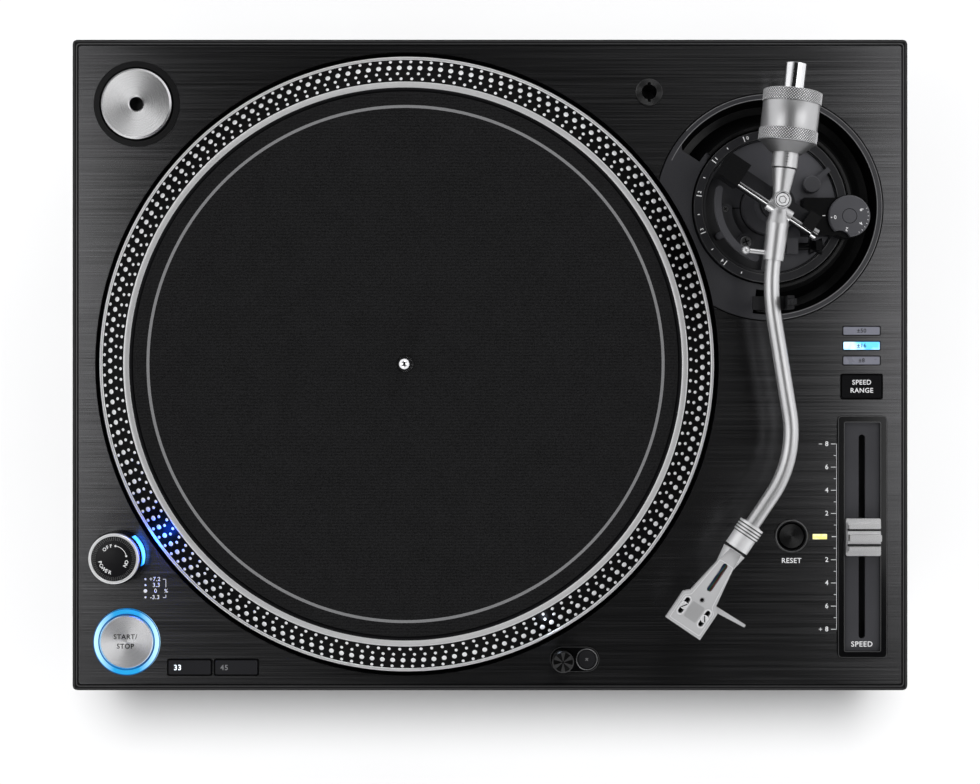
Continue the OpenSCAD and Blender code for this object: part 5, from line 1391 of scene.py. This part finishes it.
def surround():
    """A pale world that fades to black overhead, by the height of the direction that is seen."""
    world = bpy.data.worlds.new("studio")
    world.use_nodes = True
    tree = world.node_tree
    back = tree.nodes["Background"]
    coords = tree.nodes.new("ShaderNodeTexCoord")
    split = tree.nodes.new("ShaderNodeSeparateXYZ")
    ramp = tree.nodes.new("ShaderNodeValToRGB")
    tree.links.new(coords.outputs["Generated"], split.inputs[0])
    tree.links.new(split.outputs["Z"], ramp.inputs["Fac"])
    tree.links.new(ramp.outputs["Color"], back.inputs["Color"])
    pale, dark = ramp.color_ramp.elements
    pale.position, pale.color = 0.5, (1.0, 1.0, 1.01, 1)
    dark.position, dark.color = 0.86, (0.01, 0.01, 0.01, 1)
    back.inputs["Strength"].default_value = 1.15
    return world


class TURNTABLE_OT_stage(bpy.types.Operator):
    """Floor, soft lamps, a pale surround and the camera"""
    bl_idname = "turntable.stage"
    bl_label = "Stage"

    def execute(self, context):
        scene = context.scene
        mesh = bpy.data.meshes.new("floor")
        mesh.from_pydata([(-4, -4, 0), (4, -4, 0), (4, 4, 0), (-4, 4, 0)], [], [(0, 1, 2, 3)])
        pale = Recipe("floor_pale", Roughness=0.9)
        pale.colour(pale.between(pale.noise(pale.place(), 3.0), ((0.25, 0.25, 0.252), (0.265, 0.265, 0.267))))
        mesh.materials.append(pale.material)
        floor = bpy.data.objects.new("floor", mesh)
        scene.collection.objects.link(floor)
        tilt = (math.radians(-17), 0, 0)
        sun = add_light("floor_light", "SUN", turn=tilt, energy=9.8, angle=math.radians(27))
        lit = bpy.data.collections.new("floor_only")
        lit.objects.link(floor)
        sun.light_linking.receiver_collection = lit

        panel_light("left_panel", (-1.22, 0.085, 1.4), 1.5, 0.67, 6.0)
        panel_light("right_panel", (1.22, 0.085, 1.4), 1.5, 0.67, 6.0)
        softbox("rear_softbox", 72, 42, 2.2, 0.55, 0.6, 7.0)
        softbox("front_softbox", 250, 42, 2.2, 0.55, 0.6, 7.0)
        spill("strobe_glow", "power_knob", 21, 10, 0.03, (0.0, 0.07, 1.0), 0.004)
        spill("stylus_glow", "stylus_lamp", -8, 20, 0.0022, (0.75, 0.85, 1.0), 0.002)
        scene.world = surround()

        camera = bpy.data.cameras.new("camera")
        camera.lens = 67.8
        camera.sensor_width = 36
        camera.shift_y = -0.0276
        camera.clip_end = 20
        viewer = bpy.data.objects.new("camera", camera)
        viewer.location = (0, 0, 1.1)
        scene.collection.objects.link(viewer)
        scene.camera = viewer
        scene.view_settings.view_transform = "Standard"
        return {"FINISHED"}


class TURNTABLE_PT_panel(bpy.types.Panel):
    """Lists the turntable's sizes, colours and operators"""
    bl_idname = "TURNTABLE_PT_panel"
    bl_label = "Turntable"
    bl_space_type = "VIEW_3D"
    bl_region_type = "UI"
    bl_category = "Turntable"

    def draw(self, context):
        layout = self.layout
        for group in (context.scene.turntable_sizes, context.scene.turntable_colours):
            box = layout.box()
            for key in group.__annotations__:
                box.prop(group, key)
        for step in STEPS:
            layout.operator(step.bl_idname)


STEPS = (
    TURNTABLE_OT_finishes,
    TURNTABLE_OT_platter,
    TURNTABLE_OT_mat,
    TURNTABLE_OT_deck,
    TURNTABLE_OT_left_controls,
    TURNTABLE_OT_right_controls,
    TURNTABLE_OT_arm_base,
    TURNTABLE_OT_arm,
    TURNTABLE_OT_headshell,
    TURNTABLE_OT_rear,
    TURNTABLE_OT_stage,
)
CLASSES = (TurntableSizes, TurntableColours, *STEPS, TURNTABLE_PT_panel)


def register():
    for cls in CLASSES:
        bpy.utils.register_class(cls)
    bpy.types.Scene.turntable_sizes = bpy.props.PointerProperty(type=TurntableSizes)
    bpy.types.Scene.turntable_colours = bpy.props.PointerProperty(type=TurntableColours)


def unregister():
    del bpy.types.Scene.turntable_colours
    del bpy.types.Scene.turntable_sizes
    for cls in reversed(CLASSES):
        bpy.utils.unregister_class(cls)


def main():
    register()
    for step in STEPS:
        getattr(bpy.ops.turntable, step.bl_idname.split(".")[1])()


if __name__ == "__main__":
    main()
